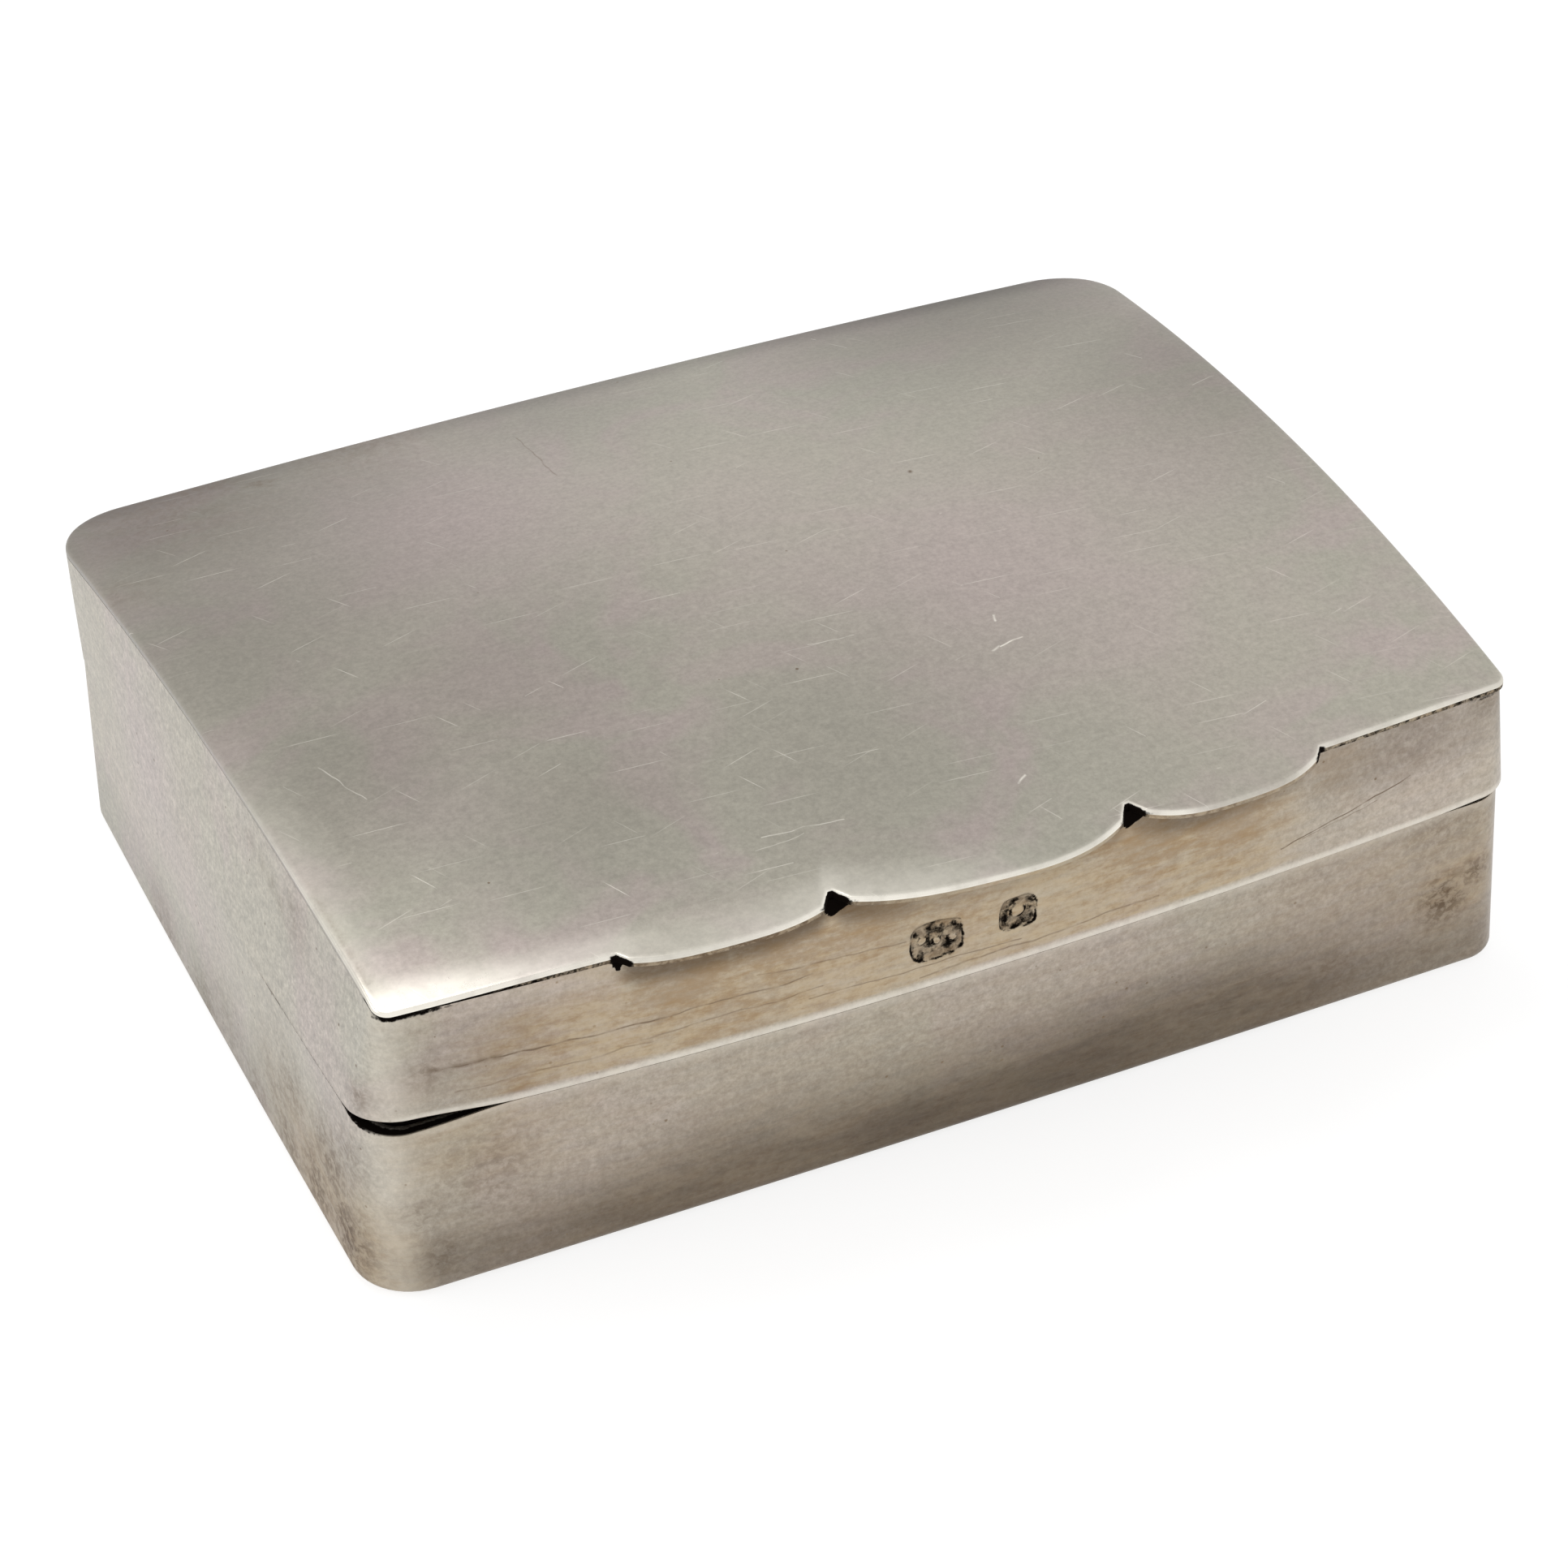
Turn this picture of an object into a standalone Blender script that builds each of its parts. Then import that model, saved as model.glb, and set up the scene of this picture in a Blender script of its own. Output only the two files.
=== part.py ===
"""Silver snuff box with a domed, hinged lid and a lobed thumb lip.

The box stands on its floor plate with the origin at the middle of its underside. +X runs along the
front to the right, +Y to the hinge at the back and +Z up. All lengths are in metres.
"""

import math
from collections import namedtuple

import bmesh
import bpy
from mathutils import Matrix, Vector

# Overall form of the box
BOX_LENGTH = 0.0450
BOX_DEPTH = 0.0342
SPLIT_HEIGHT = 0.0076
LID_RIM_RISE = 0.0050
DOME_RISE = 0.0013
CROWN_RISE = 0.0004

# Sheet silver and the play between its pieces
WALL_THICKNESS = 0.00055
FLOOR_THICKNESS = 0.00060
PLATE_THICKNESS = 0.00035
SOLDER_SEAM = 0.00003
SPLIT_GAP = 0.00003

# Plan of the base at its foot
FOOT_RADIUS = 0.0024
FOOT_BOW = 0.00015
FOOT_SIDE_BOW = 0.00010
FOOT_EDGE_RADIUS = 0.00045

# Plan of both rims at the split
RIM_DRAW_IN = 0.00031
RIM_FRONT_RADIUS = 0.0018
RIM_BACK_RADIUS = 0.0024
RIM_BOW = 0.00111
RIM_SIDE_BOW = 0.00036
LID_OVERHANG = 0.00012
BASE_EDGE_CHAMFER = 0.00008
LID_EDGE_CHAMFER = 0.00014

# Plan of the lid wall where it meets the domed plate
CREST_FRONT_DRAW_IN = 0.00113
CREST_BACK_FLARE = 0.00002
CREST_BACK_LEAN = 0.00015
CREST_FRONT_RADIUS = 0.0007
CREST_BACK_RADIUS = 0.0028
CREST_SIDE_BOW = 0.00004

# Front edge of the lid plate: a straight lip, three thumb lobes and the notches between them
PLATE_OVERHANG = 0.00028
PLATE_CORNER_RADIUS = 0.00045
CENTRE_LOBE_WIDTH = 0.0102
CENTRE_LOBE_REACH = 0.00122
SIDE_LOBE_WIDTH = 0.0069
SIDE_LOBE_REACH = 0.00107
LOBE_ROOT_REACH = 0.00035
LOBE_FULLNESS = 3
NOTCH_WIDTH = 0.00098
NOTCH_FLOOR_WIDTH = 0.00030
NOTCH_DEPTH = 0.00017
LIP_STEP_WIDTH = 0.00030

# Front corners where long wear has sprung the rims apart
LEFT_SPRING_LENGTH = 0.0046
LEFT_SPRING_RETURN = 0.0024
LEFT_SPRING_DIP = 0.00040
LEFT_SPRING_LIFT = 0.00020
RIGHT_SPRING_LENGTH = 0.0028
RIGHT_SPRING_RETURN = 0.0016
RIGHT_SPRING_DIP = 0.00014
RIGHT_SPRING_LIFT = 0.00006

# Bezel, the inner flange that the lid closes over
BEZEL_THICKNESS = 0.00040
BEZEL_RISE = 0.0012
BEZEL_DEPTH = 0.0016
LID_CLEARANCE = 0.00008
BEZEL_END_GAP = 0.00010

# Hinge along the straight of the back, between its rounded corners
HINGE_CORNER_CLEARANCE = 0.00067
HINGE_INSET = 0.00050
BARREL_RADIUS = 0.00085
BORE_RADIUS = 0.00045
PIN_CLEARANCE = 0.00004
FLUTE_CLEARANCE = 0.00005
KNUCKLE_END_GAP = 0.00006
KNUCKLE_CHAMFER = 0.00006
BEARER_DEPTH = 0.0012
BEARER_HEIGHT = 0.0015
OPEN_STOP_ANGLE = math.radians(110)

# How far a cutter runs past what it cuts
OVERRUN = 0.0010

# Points closer than this are one point
MERGE_DISTANCE = 0.0000001

# Facets
FRONT_STEPS = 26
LIP_END_STEPS = 6
SIDE_STEPS = 10
BACK_STEPS = 12
CORNER_STEPS = 5
EDGE_STEPS = 3
LOBE_STEPS = 12
DOME_LENGTH_STEPS = 22
DOME_DEPTH_STEPS = 18
BARREL_STEPS = 24
SHARP_ANGLE = math.radians(35)

KNUCKLE_NAMES = (
    "base_knuckle_left",
    "lid_knuckle_left",
    "base_knuckle_centre",
    "lid_knuckle_right",
    "base_knuckle_right",
)

BACK_CORNER_LENGTH = RIM_DRAW_IN + LID_OVERHANG + RIM_BACK_RADIUS
HINGE_LENGTH = BOX_LENGTH - 2 * (BACK_CORNER_LENGTH + HINGE_CORNER_CLEARANCE)
LID_BOTTOM = SPLIT_HEIGHT + SPLIT_GAP
HINGE_AXIS = Vector((0, BOX_DEPTH / 2 - HINGE_INSET, SPLIT_HEIGHT + SPLIT_GAP / 2))
LEFT, RIGHT = -1, 1
FRONT, BACK = -1, 1

Section = namedtuple(
    "Section",
    "half_front half_back front back front_radius back_radius front_bow side_bow",
)


def foot_section():
    """Plan of the base wall's outer face where it stands."""
    return Section(
        half_front=BOX_LENGTH / 2,
        half_back=BOX_LENGTH / 2,
        front=BOX_DEPTH / 2,
        back=BOX_DEPTH / 2,
        front_radius=FOOT_RADIUS,
        back_radius=FOOT_RADIUS,
        front_bow=FOOT_BOW,
        side_bow=FOOT_SIDE_BOW,
    )


def lid_rim_section():
    """Plan of the lid wall's outer face at its lower edge."""
    half_length = BOX_LENGTH / 2 - RIM_DRAW_IN
    return Section(
        half_front=half_length,
        half_back=half_length,
        front=BOX_DEPTH / 2,
        back=BOX_DEPTH / 2,
        front_radius=RIM_FRONT_RADIUS,
        back_radius=RIM_BACK_RADIUS,
        front_bow=RIM_BOW,
        side_bow=RIM_SIDE_BOW,
    )


def base_rim_section():
    """Plan of the base wall's outer face at its rim, which the lid overhangs at the sides."""
    rim = lid_rim_section()
    return rim._replace(
        half_front=rim.half_front - LID_OVERHANG,
        half_back=rim.half_back - LID_OVERHANG,
    )


def crest_section():
    """Plan of the lid wall's outer face under the domed plate."""
    return Section(
        half_front=BOX_LENGTH / 2 - CREST_FRONT_DRAW_IN,
        half_back=BOX_LENGTH / 2 + CREST_BACK_FLARE,
        front=BOX_DEPTH / 2,
        back=BOX_DEPTH / 2 - CREST_BACK_LEAN,
        front_radius=CREST_FRONT_RADIUS,
        back_radius=CREST_BACK_RADIUS,
        front_bow=RIM_BOW,
        side_bow=CREST_SIDE_BOW,
    )


def plate_section():
    """Plan of the lid plate, flush with the wall at the sides and back and proud of it in front."""
    crest = crest_section()
    return crest._replace(
        front=crest.front + PLATE_OVERHANG, front_radius=PLATE_CORNER_RADIUS
    )


def mixed(lower, upper, share):
    """The section that lies this share of the way from the lower one to the upper one."""
    return Section(*(low + (high - low) * share for low, high in zip(lower, upper)))


def inset(section, distance):
    """The section moved inwards by a distance, as a sheet's inner face lies inside its outer one."""
    least_radius = SOLDER_SEAM
    return section._replace(
        half_front=section.half_front - distance,
        half_back=section.half_back - distance,
        front=section.front - distance,
        back=section.back - distance,
        front_radius=max(section.front_radius - distance, least_radius),
        back_radius=max(section.back_radius - distance, least_radius),
    )


def base_section(height):
    """Plan of the base wall's outer face at a height above the foot."""
    return mixed(foot_section(), base_rim_section(), height / SPLIT_HEIGHT)


def lid_section(rise):
    """Plan of the lid wall's outer face at a height above the split."""
    return mixed(lid_rim_section(), crest_section(), rise / LID_RIM_RISE)


def dome_height(x, y):
    """Height of the lid plate's upper face, domed from front to back and slightly crowned."""
    dome = DOME_RISE * (1 - (2 * y / BOX_DEPTH) ** 2)
    crown = CROWN_RISE * (1 - (2 * x / BOX_LENGTH) ** 2)
    return SPLIT_HEIGHT + LID_RIM_RISE + dome + crown


def front_edge(section, x):
    """Y of the bowed front at a place along the length."""
    return -section.front - section.front_bow * (1 - (x / section.half_front) ** 2)


def side_edge(section, y):
    """Half length of the box at a place along its depth."""
    along = (y + section.front) / (section.front + section.back)
    straight = section.half_front + (section.half_back - section.half_front) * along
    return straight + section.side_bow * 4 * along * (1 - along)


def corner_arc(section, side, end):
    """Points of one plan corner, from the front or back edge round to the side."""
    depth = section.front + section.back
    taper = (section.half_back - section.half_front) / depth
    side_slope = 4 * section.side_bow / depth
    if end == FRONT:
        corner = Vector((side * section.half_front, -section.front))
        along_end = Vector((-side, -2 * section.front_bow / section.half_front))
        along_side = Vector((side * (side_slope + taper), 1))
        radius = section.front_radius
    else:
        corner = Vector((side * section.half_back, section.back))
        along_end = Vector((-side, 0))
        along_side = Vector((side * (side_slope - taper), -1))
        radius = section.back_radius
    along_end.normalize()
    along_side.normalize()
    half_angle = along_end.angle(along_side) / 2
    centre = corner + (along_end + along_side).normalized() * radius / math.sin(half_angle)
    tangent = radius / math.tan(half_angle)
    start = corner + along_end * tangent - centre
    sweep = start.angle_signed(corner + along_side * tangent - centre)
    points = []
    for step in range(CORNER_STEPS + 1):
        turn = Matrix.Rotation(-sweep * step / CORNER_STEPS, 2)
        points.append(centre + turn @ start)
    return points


def between(start, end, steps):
    """Evenly spaced values between two ends, without the ends."""
    return [start + (end - start) * step / steps for step in range(1, steps)]


def lobe_points(centre, width, tip_reach):
    """(x, reach) pairs along one lobe of the thumb lip, nearly straight in its middle."""
    pairs = []
    for step in range(LOBE_STEPS + 1):
        side = 2 * step / LOBE_STEPS - 1
        fall = (tip_reach - LOBE_ROOT_REACH) * abs(side) ** LOBE_FULLNESS
        pairs.append((centre + side * width / 2, tip_reach - fall))
    return pairs


def notch_floor(centre):
    """(x, reach) pairs at both ends of the floor of one notch."""
    half_width = NOTCH_FLOOR_WIDTH / 2
    return [(centre - half_width, -NOTCH_DEPTH), (centre + half_width, -NOTCH_DEPTH)]


def lip_profile():
    """(x, reach) pairs of the thumb lip from left to right, measured from the plain front edge."""
    notch_centre = (CENTRE_LOBE_WIDTH + NOTCH_WIDTH) / 2
    side_centre = CENTRE_LOBE_WIDTH / 2 + NOTCH_WIDTH + SIDE_LOBE_WIDTH / 2
    lip_end = side_centre + SIDE_LOBE_WIDTH / 2 + LIP_STEP_WIDTH
    pairs = [(-lip_end, 0)]
    pairs += lobe_points(-side_centre, SIDE_LOBE_WIDTH, SIDE_LOBE_REACH)
    pairs += notch_floor(-notch_centre)
    pairs += lobe_points(0, CENTRE_LOBE_WIDTH, CENTRE_LOBE_REACH)
    pairs += notch_floor(notch_centre)
    pairs += lobe_points(side_centre, SIDE_LOBE_WIDTH, SIDE_LOBE_REACH)
    pairs.append((lip_end, 0))
    return pairs


def plain_front(section, start, end):
    """Points of a plain bowed front edge between two corners."""
    stations = between(start.x, end.x, FRONT_STEPS)
    return [Vector((x, front_edge(section, x))) for x in stations]


def lobed_front(section, start, end):
    """Points of the plate's front edge: plain at both ends, with the thumb lip in its middle."""
    profile = lip_profile()
    left = between(start.x, profile[0][0], LIP_END_STEPS)
    right = between(profile[-1][0], end.x, LIP_END_STEPS)
    pairs = [(x, 0) for x in left] + profile + [(x, 0) for x in right]
    return [Vector((x, front_edge(section, x) - reach)) for x, reach in pairs]


def outline(section, front_points=plain_front):
    """Plan outline of a section, anticlockwise from the left front corner."""
    left_front = corner_arc(section, LEFT, FRONT)[::-1]
    right_front = corner_arc(section, RIGHT, FRONT)
    right_back = corner_arc(section, RIGHT, BACK)[::-1]
    left_back = corner_arc(section, LEFT, BACK)
    right = between(right_front[-1].y, right_back[0].y, SIDE_STEPS)
    back = between(right_back[-1].x, left_back[0].x, BACK_STEPS)
    left = between(left_back[-1].y, left_front[0].y, SIDE_STEPS)
    points = left_front + front_points(section, left_front[-1], right_front[0])
    points += right_front + [Vector((side_edge(section, y), y)) for y in right]
    points += right_back + [Vector((x, section.back)) for x in back]
    points += left_back + [Vector((-side_edge(section, y), y)) for y in left]
    return points


def ring(section, height):
    """Outline of a section at a height, or at the height that a function of x and y gives."""
    if callable(height):
        return [(x, y, height(x, y)) for x, y in outline(section)]
    return [(x, y, height) for x, y in outline(section)]


def sprung(x, y, left_amount, right_amount):
    """How far a rim has sprung at a place near one of the front corners."""
    rim = lid_rim_section()
    corners = (
        (LEFT, LEFT_SPRING_LENGTH, LEFT_SPRING_RETURN, left_amount),
        (RIGHT, RIGHT_SPRING_LENGTH, RIGHT_SPRING_RETURN, right_amount),
    )
    total = 0
    for side, length, corner_return, amount in corners:
        along = (x - side * (rim.half_front - rim.front_radius / 2)) / length
        across = (y + rim.front) / corner_return
        total += amount * max(1 - along**2 - across**2, 0) ** 2
    return total


def base_rim_height(x, y):
    """Height of the base rim, which dips at the sprung corners."""
    return SPLIT_HEIGHT - sprung(x, y, LEFT_SPRING_DIP, RIGHT_SPRING_DIP)


def base_shoulder_height(x, y):
    """Height at which the base wall's outer face meets the chamfer of its rim."""
    return base_rim_height(x, y) - BASE_EDGE_CHAMFER


def lid_rim_height(x, y):
    """Height of the lid wall's lower edge, which lifts at the sprung corners."""
    return LID_BOTTOM + sprung(x, y, LEFT_SPRING_LIFT, RIGHT_SPRING_LIFT)


def lid_shoulder_height(x, y):
    """Height at which the lid wall's outer face meets the chamfer of its lower edge."""
    return lid_rim_height(x, y) + LID_EDGE_CHAMFER


def under_plate_height(x, y):
    """Height of the lid wall's upper edge, a solder seam below the domed plate."""
    return dome_height(x, y) - PLATE_THICKNESS - SOLDER_SEAM


def new_collection(name):
    """A collection linked to the scene."""
    collection = bpy.data.collections.new(name)
    bpy.context.scene.collection.children.link(collection)
    return collection


def new_object(name, mesh, collection, parent=None):
    """An object of a mesh that is modelled in the box's own frame, carried by an optional parent."""
    piece = bpy.data.objects.new(name, mesh)
    collection.objects.link(piece)
    if parent:
        piece.parent = parent
        piece.location = -parent.location
    return piece


def mesh_from(shape, name):
    """A mesh that takes the faces of a bmesh."""
    mesh = bpy.data.meshes.new(name)
    shape.to_mesh(mesh)
    shape.free()
    return mesh


def lofted_mesh(name, rings, is_band):
    """A closed mesh through rings of equal counts: a band that closes on itself, or a capped solid."""
    shape = bmesh.new()
    loops = [[shape.verts.new(point) for point in points] for points in rings]
    pairs = list(zip(loops, loops[1:]))
    if is_band:
        pairs.append((loops[-1], loops[0]))
    else:
        shape.faces.new(loops[0])
        shape.faces.new(loops[-1])
    count = len(loops[0])
    for lower, upper in pairs:
        for i in range(count):
            j = (i + 1) % count
            shape.faces.new((lower[i], lower[j], upper[j], upper[i]))
    bmesh.ops.recalc_face_normals(shape, faces=shape.faces)
    mesh = mesh_from(shape, name)
    mesh.shade_smooth()
    mesh.set_sharp_from_angle(angle=SHARP_ANGLE)
    return mesh


def box_mesh(name, low, high):
    """A box between two corners."""
    shape = bmesh.new()
    bmesh.ops.create_cube(shape, size=1)
    size = [top - bottom for bottom, top in zip(low, high)]
    middle = [(top + bottom) / 2 for bottom, top in zip(low, high)]
    bmesh.ops.scale(shape, verts=shape.verts, vec=size)
    bmesh.ops.translate(shape, verts=shape.verts, vec=middle)
    return mesh_from(shape, name)


def rod_mesh(name, radius, length):
    """A closed cylinder along X, centred on its origin."""
    shape = bmesh.new()
    bmesh.ops.create_cone(
        shape,
        cap_ends=True,
        segments=BARREL_STEPS,
        radius1=radius,
        radius2=radius,
        depth=length,
        matrix=Matrix.Rotation(math.pi / 2, 4, "Y"),
    )
    mesh = mesh_from(shape, name)
    mesh.shade_smooth()
    mesh.set_sharp_from_angle(angle=SHARP_ANGLE)
    return mesh


def tube_profile_mesh(name, inner, outer, length, chamfer):
    """The closed half section of a tube along Z with chamfered outer ends, for a Screw about Z."""
    half = length / 2
    corners = (
        (outer - chamfer, half),
        (outer, half - chamfer),
        (outer, chamfer - half),
        (outer - chamfer, -half),
        (inner, -half),
        (inner, half),
    )
    shape = bmesh.new()
    verts = [shape.verts.new((x, 0, z)) for x, z in corners]
    for start, end in zip(verts, verts[1:] + verts[:1]):
        shape.edges.new((start, end))
    return mesh_from(shape, name)


def outline_prism(name, points, low, high, collection):
    """A hidden upright prism of a plan outline, from a filled flat curve made into a mesh."""
    curve = bpy.data.curves.new(name, "CURVE")
    curve.dimensions = "2D"
    curve.fill_mode = "BOTH"
    curve.extrude = (high - low) / 2
    spline = curve.splines.new("POLY")
    spline.points.add(len(points) - 1)
    for target, point in zip(spline.points, points):
        target.co = (point.x, point.y, 0, 1)
    spline.use_cyclic_u = True
    flat = bpy.data.objects.new(name + "_curve", curve)
    flat.location.z = (low + high) / 2
    collection.objects.link(flat)
    bpy.context.view_layer.update()
    graph = bpy.context.evaluated_depsgraph_get()
    mesh = bpy.data.meshes.new_from_object(flat.evaluated_get(graph))
    shape = bmesh.new()
    shape.from_mesh(mesh)
    bmesh.ops.remove_doubles(shape, verts=shape.verts, dist=MERGE_DISTANCE)
    bmesh.ops.recalc_face_normals(shape, faces=shape.faces)
    shape.to_mesh(mesh)
    shape.free()
    prism = bpy.data.objects.new(name, mesh)
    prism.matrix_world = flat.matrix_world
    collection.objects.link(prism)
    bpy.data.objects.remove(flat)
    return as_cutter(prism)


def as_cutter(piece):
    """Marks an object as a helper that is drawn as wires and left out of the part."""
    piece.hide_render = True
    piece.display_type = "WIRE"
    return piece


def add_boolean(piece, cutter, operation="DIFFERENCE"):
    """Cuts a piece with a helper, or keeps only what both share."""
    modifier = piece.modifiers.new(cutter.name, "BOOLEAN")
    modifier.operation = operation
    modifier.solver = "EXACT"
    modifier.object = cutter
    return modifier


def silver(name, colour, roughness):
    """A silver surface of one piece."""
    material = bpy.data.materials.new(name)
    material.use_nodes = True
    shader = material.node_tree.nodes["Principled BSDF"]
    shader.inputs["Base Color"].default_value = (*colour, 1)
    shader.inputs["Metallic"].default_value = 1
    shader.inputs["Roughness"].default_value = roughness
    material.diffuse_color = (*colour, 1)
    return material


def polished_silver(name):
    """Silver of the pieces that a hand rubs bright."""
    return silver(name, (0.70, 0.68, 0.64), 0.32)


def toned_silver(name):
    """Silver of the walls, toned a little by tarnish."""
    return silver(name, (0.62, 0.58, 0.53), 0.38)


def dark_silver(name):
    """Silver of the inner pieces and the hinge, which polish doesn't reach."""
    return silver(name, (0.48, 0.45, 0.41), 0.45)


def dress(piece, material):
    """Gives a piece its material."""
    piece.data.materials.append(material)
    return piece


def make_hinge_cutters(collection):
    """The flute that clears the barrel, and the bevel that lets the lid fall back to its stop."""
    flute = new_object(
        "barrel_flute",
        rod_mesh("barrel_flute", BARREL_RADIUS + FLUTE_CLEARANCE, HINGE_LENGTH + 2 * KNUCKLE_END_GAP),
        collection,
    )
    flute.location = HINGE_AXIS
    reach = HINGE_INSET + OVERRUN
    spread = reach * math.tan(OPEN_STOP_ANGLE / 2)
    half_length = BOX_LENGTH / 2 + OVERRUN
    triangle = ((0, 0), (reach, -spread), (reach, spread))
    ends = [[(x, y, z) for y, z in triangle] for x in (-half_length, half_length)]
    bevel = new_object("back_bevel", lofted_mesh("back_bevel", ends, False), collection)
    bevel.location = HINGE_AXIS
    return as_cutter(flute), as_cutter(bevel)


def make_base_floor_plate(collection):
    """The flat sheet that closes the base, let into the foot of the wall band."""
    fit = WALL_THICKNESS + SOLDER_SEAM
    rings = [
        ring(inset(base_section(height), fit), height) for height in (0, FLOOR_THICKNESS)
    ]
    piece = new_object("base_floor_plate", lofted_mesh("base_floor_plate", rings, False), collection)
    return dress(piece, toned_silver("floor_silver"))


def make_base_wall_band(collection, hinge_cutters):
    """The base's wall, bent from one strip, with a rounded foot and a chamfered rim."""
    rings = []
    for step in range(EDGE_STEPS + 1):
        turn = math.pi / 2 * step / EDGE_STEPS
        height = FOOT_EDGE_RADIUS * (1 - math.cos(turn))
        drawn_in = FOOT_EDGE_RADIUS * (1 - math.sin(turn))
        rings.append(ring(inset(base_section(height), drawn_in), height))
    rim = base_rim_section()
    rings.append(ring(rim, base_shoulder_height))
    rings.append(ring(inset(rim, BASE_EDGE_CHAMFER), base_rim_height))
    rings.append(ring(inset(rim, WALL_THICKNESS), base_rim_height))
    rings.append(ring(inset(base_section(0), WALL_THICKNESS), 0))
    piece = new_object("base_wall_band", lofted_mesh("base_wall_band", rings, True), collection)
    for cutter in hinge_cutters:
        add_boolean(piece, cutter)
    return dress(piece, toned_silver("base_wall_silver"))


def tighter(first, second):
    """A section that lies inside both of two sections."""
    least = Section(*map(min, first, second))
    return least._replace(
        front_radius=max(first.front_radius, second.front_radius),
        back_radius=max(first.back_radius, second.back_radius),
    )


def make_base_bezel(collection, cutters):
    """The three-sided inner flange that stands above the split and guides the lid shut."""
    fit = WALL_THICKNESS + SOLDER_SEAM
    sunk = inset(base_section(SPLIT_HEIGHT - BEZEL_DEPTH), fit)
    level = inset(base_section(SPLIT_HEIGHT), fit)
    lid_inner = tighter(lid_rim_section(), lid_section(BEZEL_RISE))
    top = tighter(level, inset(lid_inner, WALL_THICKNESS + LID_CLEARANCE))
    stations = (
        (sunk, SPLIT_HEIGHT - BEZEL_DEPTH),
        (level, SPLIT_HEIGHT),
        (top, SPLIT_HEIGHT + BEZEL_RISE),
    )
    rings = [ring(section, height) for section, height in stations]
    rings += [ring(inset(section, BEZEL_THICKNESS), height) for section, height in stations[::-1]]
    piece = new_object("base_bezel", lofted_mesh("base_bezel", rings, True), collection)
    bearer_front = BOX_DEPTH / 2 - fit - BEARER_DEPTH
    low = (-BOX_LENGTH / 2, bearer_front - BEZEL_END_GAP, SPLIT_HEIGHT - BEZEL_DEPTH - OVERRUN)
    high = (BOX_LENGTH / 2, BOX_DEPTH / 2, SPLIT_HEIGHT + BEZEL_RISE + OVERRUN)
    back_cut = new_object("bezel_back_cut", box_mesh("bezel_back_cut", low, high), cutters)
    add_boolean(piece, as_cutter(back_cut))
    return dress(piece, dark_silver("bezel_silver"))


def make_base_hinge_bearer(collection, flute):
    """The fluted strip inside the base's back wall that the fixed knuckles are soldered to."""
    back = BOX_DEPTH / 2 - WALL_THICKNESS - SOLDER_SEAM
    low = (-HINGE_LENGTH / 2, back - BEARER_DEPTH, SPLIT_HEIGHT - BEARER_HEIGHT)
    high = (HINGE_LENGTH / 2, back, SPLIT_HEIGHT)
    piece = new_object("base_hinge_bearer", box_mesh("base_hinge_bearer", low, high), collection)
    add_boolean(piece, flute)
    return dress(piece, dark_silver("base_bearer_silver"))


def make_lid_hinge_bearer(collection, flute, parent):
    """The fluted strip inside the lid's back wall that the moving knuckles are soldered to."""
    wall_back = lid_section(SPLIT_GAP + BEARER_HEIGHT).back
    back = wall_back - WALL_THICKNESS - SOLDER_SEAM
    low = (-HINGE_LENGTH / 2, back - BEARER_DEPTH, LID_BOTTOM)
    high = (HINGE_LENGTH / 2, back, LID_BOTTOM + BEARER_HEIGHT)
    piece = new_object(
        "lid_hinge_bearer", box_mesh("lid_hinge_bearer", low, high), collection, parent
    )
    add_boolean(piece, flute)
    return dress(piece, dark_silver("lid_bearer_silver"))


def make_lid_wall_band(collection, hinge_cutters, parent):
    """The lid's wall, with a chamfered lower edge and its upper edge cut to the dome."""
    rim = lid_rim_section()
    crest = crest_section()
    rings = [
        ring(inset(rim, WALL_THICKNESS), lid_rim_height),
        ring(inset(rim, LID_EDGE_CHAMFER), lid_rim_height),
        ring(rim, lid_shoulder_height),
        ring(crest, under_plate_height),
        ring(inset(crest, WALL_THICKNESS), under_plate_height),
    ]
    piece = new_object(
        "lid_wall_band", lofted_mesh("lid_wall_band", rings, True), collection, parent
    )
    for cutter in hinge_cutters:
        add_boolean(piece, cutter)
    return dress(piece, toned_silver("lid_wall_silver"))


def make_lid_top_plate(collection, cutters, parent):
    """The domed top sheet, whose front edge is sawn to the three-lobed thumb lip."""
    shape = bmesh.new()
    bmesh.ops.create_grid(
        shape, x_segments=DOME_LENGTH_STEPS, y_segments=DOME_DEPTH_STEPS, size=1
    )
    margin = PLATE_OVERHANG + RIM_BOW + CENTRE_LOBE_REACH + OVERRUN
    extent = (BOX_LENGTH / 2 + margin, BOX_DEPTH / 2 + margin, 1)
    bmesh.ops.scale(shape, verts=shape.verts, vec=extent)
    for vertex in shape.verts:
        vertex.co.z = dome_height(vertex.co.x, vertex.co.y)
    mesh = mesh_from(shape, "lid_top_plate")
    mesh.shade_smooth()
    piece = new_object("lid_top_plate", mesh, collection, parent)
    sheet = piece.modifiers.new("sheet", "SOLIDIFY")
    sheet.thickness = PLATE_THICKNESS
    sheet.offset = -1
    low = SPLIT_HEIGHT
    high = SPLIT_HEIGHT + LID_RIM_RISE + DOME_RISE + CROWN_RISE + OVERRUN
    points = outline(plate_section(), lobed_front)
    prism = outline_prism("plate_outline", points, low, high, cutters)
    add_boolean(piece, prism, "INTERSECT")
    return dress(piece, polished_silver("plate_silver"))


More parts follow.
